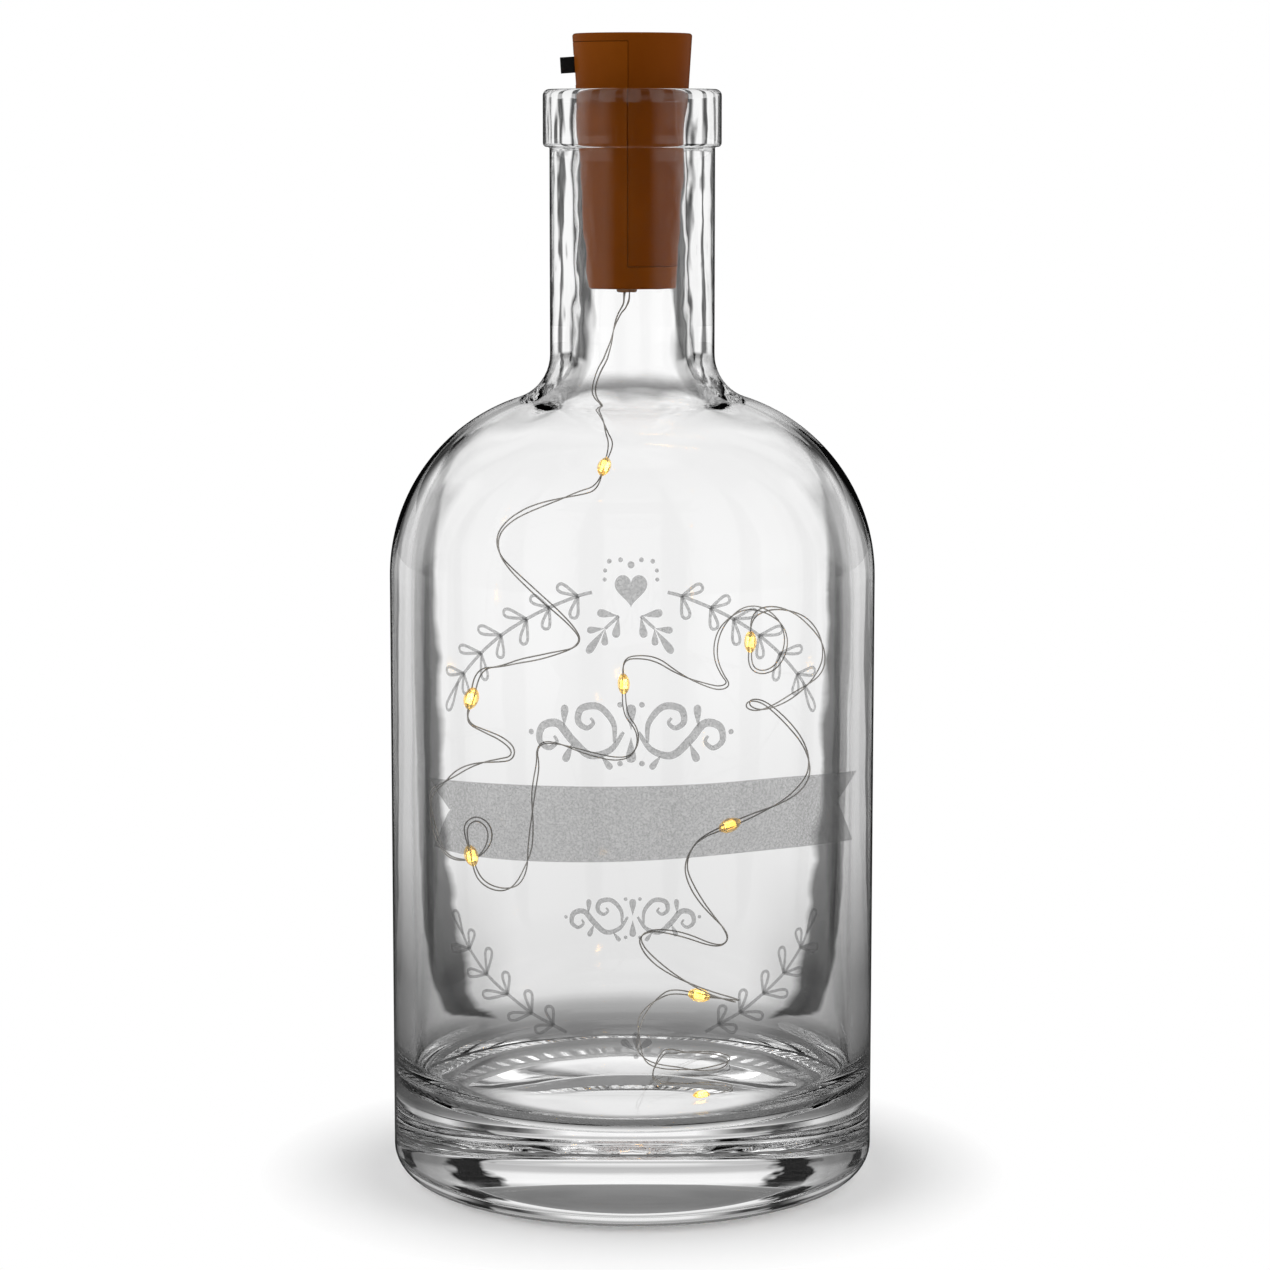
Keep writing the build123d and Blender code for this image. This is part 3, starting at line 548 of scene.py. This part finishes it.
# The other finishes: plain values, scale and detail of the grain, what it varies, and strength and depth of the bump
finishSettings = {
    "blackPlastic": {"plain": {"Roughness": 0.35}, "grain": (3000, 2), "bump": (0.1, 0.0001),
                     "varied": {"Base Color": [(0.3, 0.006), (0.7, 0.012)]}},
    "cradlePlastic": {"plain": {"Roughness": 0.5}, "grain": (1500, 3), "bump": (0.15, 0.0001),
                      "varied": {"Base Color": [(0.3, 0.02), (0.7, 0.035)]}},
    "cellSteel": {"plain": {"Metallic": 1.0}, "grain": (900, 3, (1, 1, 8)),
                  "varied": {"Base Color": [(0.3, (0.62, 0.62, 0.6)), (0.7, (0.78, 0.78, 0.75))],
                             "Roughness": [(0.2, 0.18), (0.8, 0.34)]}},
    "contactSteel": {"plain": {"Metallic": 1.0}, "grain": (1400, 3, (6, 1, 1)),
                     "varied": {"Base Color": [(0.3, (0.55, 0.53, 0.48)), (0.7, (0.72, 0.7, 0.64))],
                                "Roughness": [(0.2, 0.22), (0.8, 0.4)]}},
    "boardGreen": {"plain": {"Roughness": 0.35}, "grain": (1600, 4), "bump": (0.1, 0.0001),
                   "varied": {"Base Color": [(0.3, (0.015, 0.09, 0.03)), (0.7, (0.03, 0.14, 0.05))]}},
    "outletGlue": {"plain": {"Roughness": 0.25}, "grain": (700, 3), "bump": (0.3, 0.0002),
                   "varied": {"Base Color": [(0.3, (0.2, 0.09, 0.035)), (0.7, (0.28, 0.13, 0.05))]}},
    "silverWire": {"plain": {"Metallic": 1.0}, "grain": (350, 3),
                   "varied": {"Base Color": [(0.3, (0.30, 0.28, 0.255)), (0.7, (0.48, 0.455, 0.42))],
                              "Roughness": [(0.2, 0.28), (0.8, 0.45)]}},
    "resinGlow": {"plain": {"Roughness": 0.12, "IOR": 1.5, "Transmission Weight": 0.92, "Emission Strength": 0.14},
                  "grain": (600, 2),
                  "varied": {"Base Color": [(0.3, (1.0, 0.72, 0.25)), (0.7, (1.0, 0.84, 0.45))],
                             "Emission Color": [(0.3, (1.0, 0.6, 0.1)), (0.7, (1.0, 0.72, 0.2))]}},
    "ledGlow": {"plain": {"Roughness": 0.4, "Emission Strength": 6}, "grain": (2000, 2),
                "varied": {"Base Color": [(0.3, (1.0, 0.7, 0.2)), (0.7, (1.0, 0.85, 0.4))],
                           "Emission Color": [(0.3, (1.0, 0.66, 0.2)), (0.7, (1.0, 0.78, 0.34))]}},
}
for name, values in finishSettings.items():
    finishes[name] = grainedFinish(name, **values)

lightCount = 8
finishedNodes = {
    "bodyPlastic": ["cork_body"], "shadedCoverPlastic": ["battery_cover"], "cradlePlastic": ["battery_tray"],
    "cellSteel": ["cell_1", "cell_2", "cell_3", "switch_can", "switch_pins"],
    "contactSteel": ["contact_plate", "contact_spring"], "boardGreen": ["circuit_board"],
    "blackPlastic": ["resistor", "switch_base", "switch_knob"],
    "outletGlue": ["outlet_glue"], "silverWire": ["lead_wires"],
    "resinGlow": [f"led_drop_{light}" for light in range(1, lightCount + 1)],
    "ledGlow": [f"led_chip_{light}" for light in range(1, lightCount + 1)],
}
for finishName, nodeNames in finishedNodes.items():
    for nodeName in nodeNames:
        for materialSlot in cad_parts[nodeName].material_slots:
            materialSlot.material = finishes[finishName]
print("cork, switch and lights finished")

# String of lights: two thin wires that turn round each other along the route. Its points and lights are in mm
stringSettings = {
    "exit": (-1, 0, 165.3), "length": 0.7, "diameter": 0.001,
    "strandRadius": 0.13, "strandOffset": 0.36, "strandSides": 8, "twistLength": 34, "resolution": 10,
    "twistNoise": (0.9, 60, 3), "spreadNoise": (0.18, 140, 7),  # amount, scale along the wire, seed
    "stretches": [  # from the exit to the first light, then from light to light
        [(-1, 0, 163.3), (-2.3, -0.5, 161.4), (-3.2, -1, 159), (-3.8, -1.5, 156.5), (-4.6, -2, 154),
         (-5.8, -1.2, 151.5), (-6.6, 0, 149), (-6.9, 1, 146.5), (-6.4, 1.5, 144), (-5.5, 1, 141.5),
         (-4.9, -0.8, 139), (-3.9, -3.2, 136.5)],
        [(-6.4, -10.4, 128.7), (-9.5, -14, 128.2), (-12.5, -17.5, 127.7), (-15.5, -20.8, 127.2),
         (-18.6, -23.8, 126.4), (-21.5, -26.6, 125), (-23.3, -28.8, 122.8), (-23, -30.3, 120),
         (-21, -31.8, 117.6), (-18.3, -33.2, 115.2), (-15.5, -34.5, 112.8), (-12.6, -35.6, 110.4),
         (-10, -36.3, 107.8), (-8.8, -36.4, 105.8), (-10, -36, 104.2), (-13, -35, 103.2),
         (-16.3, -33.3, 102.1), (-19.6, -31.3, 101.2), (-22.7, -29.4, 100), (-26.6, -26.7, 99.2)],
        [(-29.1, -24, 89), (-25.5, -25.7, 87.6), (-22.8, -27, 86.6), (-20.7, -28.4, 85), (-21, -28.4, 83.2),
         (-23.5, -26.3, 82.5), (-26.4, -23.5, 81.7), (-29.4, -20, 80.2), (-32, -16, 78),
         (-34.3, -11.5, 75.6), (-36.7, -6.5, 73.4), (-38, -1.5, 70.8), (-38.4, 2, 67.3), (-37.8, 3.2, 63.7),
         (-36, 1.2, 61), (-33.8, -2.4, 60), (-31.2, -6, 60.3), (-28.6, -9.4, 61.3), (-26.6, -12, 63.6),
         (-25.6, -14.2, 66.3), (-26, -16.5, 69), (-27.8, -18.2, 70.6), (-29.6, -18, 69.4),
         (-29.9, -16.7, 67.2)],
        [(-28.1, -14.2, 59), (-26.2, -15, 57.3), (-23.9, -14.2, 56.3), (-22, -11, 56), (-20.8, -7, 56.4),
         (-20, -2.6, 57.4), (-19.5, 2, 58.8), (-19.4, 6.6, 60.4), (-19.4, 11, 62.4), (-19.4, 15.2, 64.8),
         (-19.5, 19, 67.4), (-19.2, 22.4, 70.2), (-18.8, 25.2, 73), (-19.2, 27.6, 75.4), (-18, 29.6, 76.6),
         (-15, 31.4, 76), (-11.4, 33, 74.6), (-7.4, 34.2, 73.2), (-3.4, 35.2, 72.3), (-0.4, 35.8, 72.6),
         (1.2, 36, 75), (1, 36.1, 78.2), (-1.4, 36.3, 81)],
        [(-1.8, 35.7, 92.1), (2.4, 35, 92.6), (5.4, 34.3, 91.8), (8.2, 33.2, 90), (11.2, 31.8, 88.6),
         (14.4, 29.8, 87.8), (17.4, 27.2, 87.4), (19.2, 25.2, 88.6), (17.8, 24.6, 90.6), (16.6, 25, 93.4),
         (16.5, 25.3, 96.4), (17.4, 24.9, 99.4), (19.4, 23.6, 102), (22.6, 21.7, 103.9), (26, 19.6, 103.7),
         (28.8, 17.6, 102), (30, 16.3, 99), (29.4, 16, 95.8), (27.6, 16.8, 93), (25, 18, 91.8),
         (22.8, 19.5, 93)],
        [(23.2, 19.7, 102.2), (25.6, 17.4, 104.2), (28.8, 14.4, 104.8), (32, 10.8, 104.2),
         (34.6, 6.8, 102.4), (36, 2.4, 99.8), (35.8, -1.8, 96.9), (34, -5.8, 94.7), (31.2, -9.4, 93.1),
         (28.4, -12.8, 91.9), (25.6, -16.2, 90.9), (22.6, -18.8, 90.3), (20.4, -20.7, 91.3),
         (20.6, -22.4, 92.9), (22.8, -22.7, 92.8), (25.4, -21.3, 90.6), (28, -19.6, 87.7), (30.2, -18, 84.7),
         (31.5, -17.2, 81.5), (31.4, -18.2, 78.3), (29.3, -21, 76), (26.2, -24, 74.4), (22.8, -27, 73.4)],
        [(11.7, -32.8, 69.6), (9.8, -33.8, 67), (9.2, -34.4, 64.2), (10.4, -34.5, 61), (12.2, -34.2, 58),
         (14.2, -33.6, 55.4), (16, -33, 53.2), (16.8, -32.6, 51.2), (15.6, -32.6, 49.9), (13.2, -33.1, 50.4),
         (10.2, -33.8, 51.8), (7.2, -34.5, 52.8), (3.6, -35.1, 53.4), (1.2, -35.2, 52.3), (1.8, -34.9, 50),
         (4, -34, 47.3), (7, -32.9, 44.8), (10.5, -31.5, 42.5), (14, -30, 40.6), (17.2, -28.2, 39.2),
         (19, -25.8, 38.1), (17.6, -23.9, 38)],
        [(7, -21.8, 39.2), (4.6, -19.4, 37.2), (2.6, -16.2, 34.6), (1.4, -12.2, 31.5), (1, -7.8, 28.2),
         (1, -3.2, 24.8), (1.4, 1.4, 21.5), (2.6, 5.8, 18.8), (5.4, 8.4, 17.2), (9, 7.6, 17.1),
         (12.8, 6.2, 17.1), (16.2, 8, 17.1), (18.6, 11.8, 17.1), (19, 16.2, 17.1), (16.4, 19.4, 17.1),
         (12.6, 19.6, 17.2), (9.2, 17, 17.9), (7.2, 13.2, 19.2), (6, 9.2, 19.9), (4.8, 5, 19.3),
         (3.6, 1, 17.9), (4.2, -2.6, 17.1), (7.8, -4, 17.1), (12, -3.4, 17.1), (16, -3.6, 17.1),
         (18.8, -6.4, 17.1), (18.2, -10.6, 17.1), (15.6, -14.4, 17.4)],
    ],
    "lights": [
        (-5.2, -7, 132.4), (-28, -25.2, 93.6), (-29, -15.4, 63), (-1.6, 36, 87),
        (23, 19.6, 97.6), (17, -30, 71.4), (12, -22.8, 38.6), (12.6, -18.2, 18.2),
    ],
}
routePoints = [stringSettings["exit"]]
for stretch, place in zip(stringSettings["stretches"], stringSettings["lights"]):
    routePoints += [*stretch, place]
curve = bpy.data.curves.new("stringRoute", "CURVE")
curve.dimensions = "3D"
curve.resolution_u = stringSettings["resolution"]
spline = curve.splines.new("NURBS")
spline.points.add(len(routePoints) - 1)
for point, place in zip(spline.points, routePoints):
    point.co = (place[0] * mm, place[1] * mm, place[2] * mm, 1)
spline.order_u = 3
spline.use_endpoint_u = True
routeObject = bpy.data.objects.new("stringRoute", curve)
routeMesh = bpy.data.meshes.new_from_object(routeObject)
path = [vertex.co.copy() for vertex in routeMesh.vertices]
bpy.data.objects.remove(routeObject)
bpy.data.meshes.remove(routeMesh)

# Place, two directions across the wire and the length so far, at each point of the route
travel = 0
side = Vector((1, 0, 0))
wireFrames = []
for index, place in enumerate(path):
    ahead = path[min(index + 1, len(path) - 1)] - path[max(index - 1, 0)]
    along = ahead.normalized()
    side = (side - along * side.dot(along)).normalized()
    up = along.cross(side)
    if index:
        travel += (place - path[index - 1]).length
    wireFrames.append((place, side.copy(), up, travel))


def wireNoise(travel, amount, scale, seed):
    # Slow unevenness along the wire
    return amount * noise.noise(Vector((travel * scale, seed, 0)))


vertices, faces = [], []
strandSides = stringSettings["strandSides"]
for strand in (0, 1):
    faces += ringFaces(len(vertices), len(wireFrames), strandSides)
    for place, side, up, travel in wireFrames:
        turn = 2 * math.pi * (travel / mm / stringSettings["twistLength"] + strand / 2)
        turn += wireNoise(travel, *stringSettings["twistNoise"])
        spread = 1 + wireNoise(travel, *stringSettings["spreadNoise"])
        centre = place + (side * math.cos(turn) + up * math.sin(turn)) * stringSettings["strandOffset"] * mm * spread
        for corner in range(strandSides):
            cornerTurn = 2 * math.pi * corner / strandSides
            offset = side * math.cos(cornerTurn) + up * math.sin(cornerTurn)
            vertices.append(centre + offset * stringSettings["strandRadius"] * mm)
string = meshObject("wireString", vertices, faces, finishes["silverWire"])
stringNodes = [f"string_{index}" for index in range(1, lightCount + 1)]
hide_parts(*stringNodes)
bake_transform(string)
print("string laid", round(travel, 4))

# Engraving: frosted ornament on the front of the glass, in mm along the girth and up the height
engravingSettings = {
    "lift": 0.035, "stroke": 0.56, "stem": 1.1, "centre": -0.4, "lowCentre": 0.7,
    "leafWidth": 1.75, "leafSteps": 14, "leafCrowding": 1.6, "leafFullness": 1.27, "leafRoot": 1.1, "leafEnd": 5,
    "dotSteps": 8, "branchSteps": 8,
    "finish": {"plain": {"Roughness": 0.75}, "grain": (2600, 3), "bump": (0.3, 0.0001),
               "varied": {"Base Color": [(0.34, 0.06), (0.66, 0.15)], "Alpha": [(0.34, 0.4), (0.66, 0.62)]}},
    "branch": {
        "nodes": [(6.6, 115.0), (9.1, 114.3), (14.3, 112.1), (18.6, 109.9), (23.7, 106.7), (28.1, 103.2),
                  (32.2, 99.2), (33.6, 97.6)],
        "sideLeaves": [(3.7, 1.6), (3.5, 1.6), (4.6, 1.0), (5.0, 0.8), (5.2, 0.4), (4.5, 0.1)],
        "crossLeaves": [(0.9, -3.9), (0.8, -3.8), (0.7, -4.5), (0.3, -4.0), (-0.9, -4.7), (-0.5, -3.6)],
        "tipNode": -1, "tip": (2.9, -5.4),
    },
    "lowBranch": {
        "nodes": [(33.9, 51.9), (32.3, 49.5), (28.3, 45.4), (23.8, 42.3), (19.0, 39.4), (14.9, 37.6), (12.4, 36.4)],
        "sideLeaves": [(4.6, -0.6), (4.5, -0.3), (5.4, -0.7), (4.7, -1.3), (3.4, -1.3)],
        "crossLeaves": [(-0.6, 3.5), (-0.5, 4.8), (0.5, 4.0), (0.8, 4.0), (0.9, 3.3)],
        "tipNode": 0, "tip": (2.2, 4.0),
    },
    "sprig": [(1.9, 110.9), (4.3, 108.7)],
    "sprigLeaves": [(0, 3.8, 0.6, 1.75), (0, 0.6, -3.8, 1.7), (1, 3.2, -0.4, 1.5), (1, 0.1, -3.0, 1.45),
                    (1, 3.2, -4.4, 1.7)],
    "heart": {"middle": (-0.2, 115.7), "width": 5.7, "height": 5.7, "steps": 60, "fanDrop": 0.3},
    "dots": [(0, 4.1, 0.62), (1.85, 4.95, 0.42), (3.85, 4.7, 0.42), (4.55, 3.1, 0.36), (4.6, 1.55, 0.36)],
    "ribbonTop": [(-42.6, 79.1), (-30.0, 79.9), (-12.8, 80.6), (12, 81.0), (30.0, 80.9), (51.0, 79.2)],
    "ribbonFoot": [(-41.2, 66.8), (-29, 66.5), (-5.7, 67.3), (19.7, 68.2), (36.7, 67.7), (49.4, 66.7)],
    "ribbonNotches": [(-36.6, 74.2), (43.3, 74.8)], "ribbonSteps": 16, "ribbonColumns": 110,
    "scrollPlaces": {"upper": ((-0.2, 90.2), 1.0), "lower": ((0.1, 57.4), 0.66)},  # middle and scale
    "scrolls": [  # line, widest and thinnest stroke
        ([(1.3, 0.3), (3.6, -2.9), (7.2, -3.9), (10.4, -1.3), (13.0, 1.5), (15.8, 0.9), (16.4, -1.6), (14.7, -2.9),
          (13.2, -1.8), (13.7, -0.7)], 1.5, 0.5),
        ([(2.9, -1.6), (3.1, 1.9), (5.6, 4.7), (8.7, 4.3), (9.3, 2.0), (7.8, 0.9), (6.6, 1.8), (7.1, 2.7)],
         1.25, 0.45),
    ],
    "scrollSteps": 10, "scrollSwell": (0.7, 1.2),
    "scrollLeaves": [((10.2, -1.6), (1.6, -3.6), 1.7), ((11.9, 0.6), (-0.2, 4.3), 1.7),
                     ((5.4, -3.7), (-2.0, -2.6), 1.4)],
    "scrollDots": [((1.9, 5.1), 0.5), ((1.9, -5.3), 0.5), ((18.0, -0.2), 0.5)],
    "scrollSpears": {"rise": 4.6, "gap": 0.12, "width": 2.2},
    "lowMotif": {"root": 33.4, "leaves": [(-2.6, 2.0, 1.6), (2.6, 2.0, 1.6), (0, 3.4, 1.7)], "dot": (32.4, 0.45)},
}
e = engravingSettings
frosted = grainedFinish("frostedGlass", **e["finish"])


def onGlass(along, height, lift):
    # Point of the flat drawing wrapped round the bottle
    radius = b["radius"]
    if height > b["shoulderHeight"]:
        rise = (height - b["shoulderHeight"]) / b["shoulderRadius"]
        radius = shoulderCentre[0] + b["shoulderRadius"] * math.sqrt(1 - rise**2)
    turn = along / b["radius"]
    return ((radius + lift) * math.sin(turn) * mm, -(radius + lift) * math.cos(turn) * mm, height * mm)


class Drawing:
    # Quads of one engraved figure, kept flat until it is wrapped
    def __init__(self):
        self.points, self.quads = [], []

    def strip(self, left, right):
        first = len(self.points)
        self.points += [point for pair in zip(left, right) for point in pair]
        for i in range(len(left) - 1):
            low = first + 2 * i
            self.quads.append((low, low + 1, low + 3, low + 2))

    def stroke(self, line, widths):
        left, right = [], []
        for i, point in enumerate(line):
            before, after = Vector(line[max(i - 1, 0)]), Vector(line[min(i + 1, len(line) - 1)])
            ahead = (after - before).normalized()
            across = Vector((-ahead.y, ahead.x)) * widths[i] / 2
            left.append(tuple(Vector(point) + across))
            right.append(tuple(Vector(point) - across))
        self.strip(left, right)

    def leaf(self, root, reach, width, hollow):
        # Drop shape: narrow at its root, round at its far end
        axis = Vector(reach)
        across = Vector((-axis.y, axis.x)).normalized()
        shares = [1 - (1 - i / e["leafSteps"])**e["leafCrowding"] for i in range(e["leafSteps"] + 1)]
        halves = [width / 2 * e["leafFullness"] * share**e["leafRoot"] * math.sqrt(max(1 - share**e["leafEnd"], 0))
                  for share in shares]
        left = [Vector(root) + axis * share + across * half for share, half in zip(shares, halves)]
        right = [Vector(root) + axis * share - across * half for share, half in zip(shares, halves)]
        if hollow:
            line = left + right[::-1][1:]
            self.stroke(line, [e["stroke"]] * len(line))
        else:
            self.strip(left, right)

    def dot(self, middle, radius):
        turns = [math.pi * i / e["dotSteps"] for i in range(e["dotSteps"] + 1)]
        self.strip([(middle[0] - radius * math.sin(turn), middle[1] + radius * math.cos(turn)) for turn in turns],
                   [(middle[0] + radius * math.sin(turn), middle[1] + radius * math.cos(turn)) for turn in turns])

    def fan(self, middle, rim):
        first = len(self.points)
        self.points += [middle, *rim]
        self.quads += [(first, first + i, first + i + 1) for i in range(1, len(rim))]

    def wrap(self, name):
        piece = meshObject(name, [onGlass(*point, e["lift"]) for point in self.points], self.quads, frosted)
        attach(piece, "bottle")


def curveThrough(points, count):
    # Smooth line through a few points
    line = []
    for i in range(len(points) - 1):
        p0, p1 = Vector(points[max(i - 1, 0)]), Vector(points[i])
        p2, p3 = Vector(points[i + 1]), Vector(points[min(i + 2, len(points) - 1)])
        for step in range(count):
            t = step / count
            line.append(tuple(0.5 * (2 * p1 + (p2 - p0) * t + (2 * p0 - 5 * p1 + 4 * p2 - p3) * t**2
                                     + (3 * p1 - p0 - 3 * p2 + p3) * t**3)))
    return line + [tuple(points[-1])]


def mirrored(points, centre, side):
    # Points on one side of a centre line, -1 for the left and 1 for the right
    return [(centre + side * along, height) for along, height in points]


for side, sideName in ((-1, "left"), (1, "right")):
    for branchName, centre, branch in (("Branch", e["centre"], e["branch"]),
                                       ("LowBranch", e["lowCentre"], e["lowBranch"])):
        wreath = Drawing()
        branchNodes = mirrored(branch["nodes"], centre, side)
        line = curveThrough(branchNodes, e["branchSteps"])
        wreath.stroke(line, [e["stroke"] * e["stem"]] * len(line))
        for node, *reaches in zip(branchNodes[1:-1], branch["sideLeaves"], branch["crossLeaves"]):
            for along, rise in reaches:
                wreath.leaf(node, (side * along, rise), e["leafWidth"], True)
        along, rise = branch["tip"]
        wreath.leaf(branchNodes[branch["tipNode"]], (side * along, rise), e["leafWidth"], True)
        wreath.wrap(f"engraved{branchName}_{sideName}")

    sprig = Drawing()
    sprigNodes = mirrored(e["sprig"], e["centre"], side)
    sprig.stroke(sprigNodes, [e["stroke"]] * 2)
    for node, along, rise, width in e["sprigLeaves"]:
        sprig.leaf(sprigNodes[node], (side * along, rise), width, False)
    sprig.wrap(f"engravedSprig_{sideName}")

# The usual heart curve, 32 units wide and 29 high
heart = Drawing()
middle, width, height = e["heart"]["middle"], e["heart"]["width"], e["heart"]["height"]
heartTurns = [2 * math.pi * i / e["heart"]["steps"] for i in range(e["heart"]["steps"] + 1)]
heart.fan((middle[0], middle[1] - e["heart"]["fanDrop"]), [
    (middle[0] + width / 2 * math.sin(turn)**3, middle[1] + height / 29 * (
        13 * math.cos(turn) - 5 * math.cos(2 * turn) - 2 * math.cos(3 * turn) - math.cos(4 * turn)))
    for turn in heartTurns])
for along, rise, radius in e["dots"]:
    for side in ((-1, 1) if along else (1,)):
        heart.dot((middle[0] + side * along, middle[1] + rise), radius)
heart.wrap("engravedHeart")

ribbon = Drawing()
topLine, footLine = [curveThrough(e[name], e["ribbonSteps"]) for name in ("ribbonTop", "ribbonFoot")]


def heightAt(line, along):
    # Height of a line that runs from left to right
    for (s0, z0), (s1, z1) in zip(line, line[1:]):
        if s0 <= along <= s1:
            return z0 + (z1 - z0) * (along - s0) / (s1 - s0)
    return line[0][1] if along < line[0][0] else line[-1][1]


for edge in (topLine, footLine):
    # Half of the ribbon between this edge and the notches of its tails
    columns = [edge[0][0] + (edge[-1][0] - edge[0][0]) * i / e["ribbonColumns"]
               for i in range(e["ribbonColumns"] + 1)]
    middleLine = [edge[0], *e["ribbonNotches"], edge[-1]]
    ribbon.strip([(along, heightAt(edge, along)) for along in columns],
                 [(along, heightAt(middleLine, along)) for along in columns])
ribbon.wrap("engravedRibbon")


def flourish(middle, scale, name):
    # Plain scroll ornament
    scroll = Drawing()

    def place(point, side=1):
        return (middle[0] + side * point[0] * scale, middle[1] + point[1] * scale)

    for side in (-1, 1):
        for points, wide, thin in e["scrolls"]:
            line = curveThrough([place(point, side) for point in points], e["scrollSteps"])
            early, sharp = e["scrollSwell"]
            shares = [i / (len(line) - 1) for i in range(len(line))]
            scroll.stroke(line, [scale * (thin + (wide - thin) * math.sin(math.pi * share**early)**sharp)
                                 for share in shares])
        for root, reach, width in e["scrollLeaves"]:
            scroll.leaf(place(root, side), (side * reach[0] * scale, reach[1] * scale), width * scale, False)
        for point, radius in e["scrollDots"]:
            scroll.dot(place(point, side), radius * scale)
    spears = e["scrollSpears"]
    for rise in (-spears["rise"], spears["rise"]):
        scroll.leaf(place((0, rise * spears["gap"])), (0, rise * scale), spears["width"] * scale, False)
    scroll.wrap(name)


for placeName, (middle, scale) in e["scrollPlaces"].items():
    flourish(middle, scale, f"engravedScroll_{placeName}")

lowMotif = Drawing()
for along, rise, width in e["lowMotif"]["leaves"]:
    lowMotif.leaf((e["lowCentre"], e["lowMotif"]["root"]), (along, rise), width, False)
dotHeight, dotRadius = e["lowMotif"]["dot"]
lowMotif.dot((e["lowCentre"], dotHeight), dotRadius)
lowMotif.wrap("engravedLowMotif")
print("engraving wrapped")
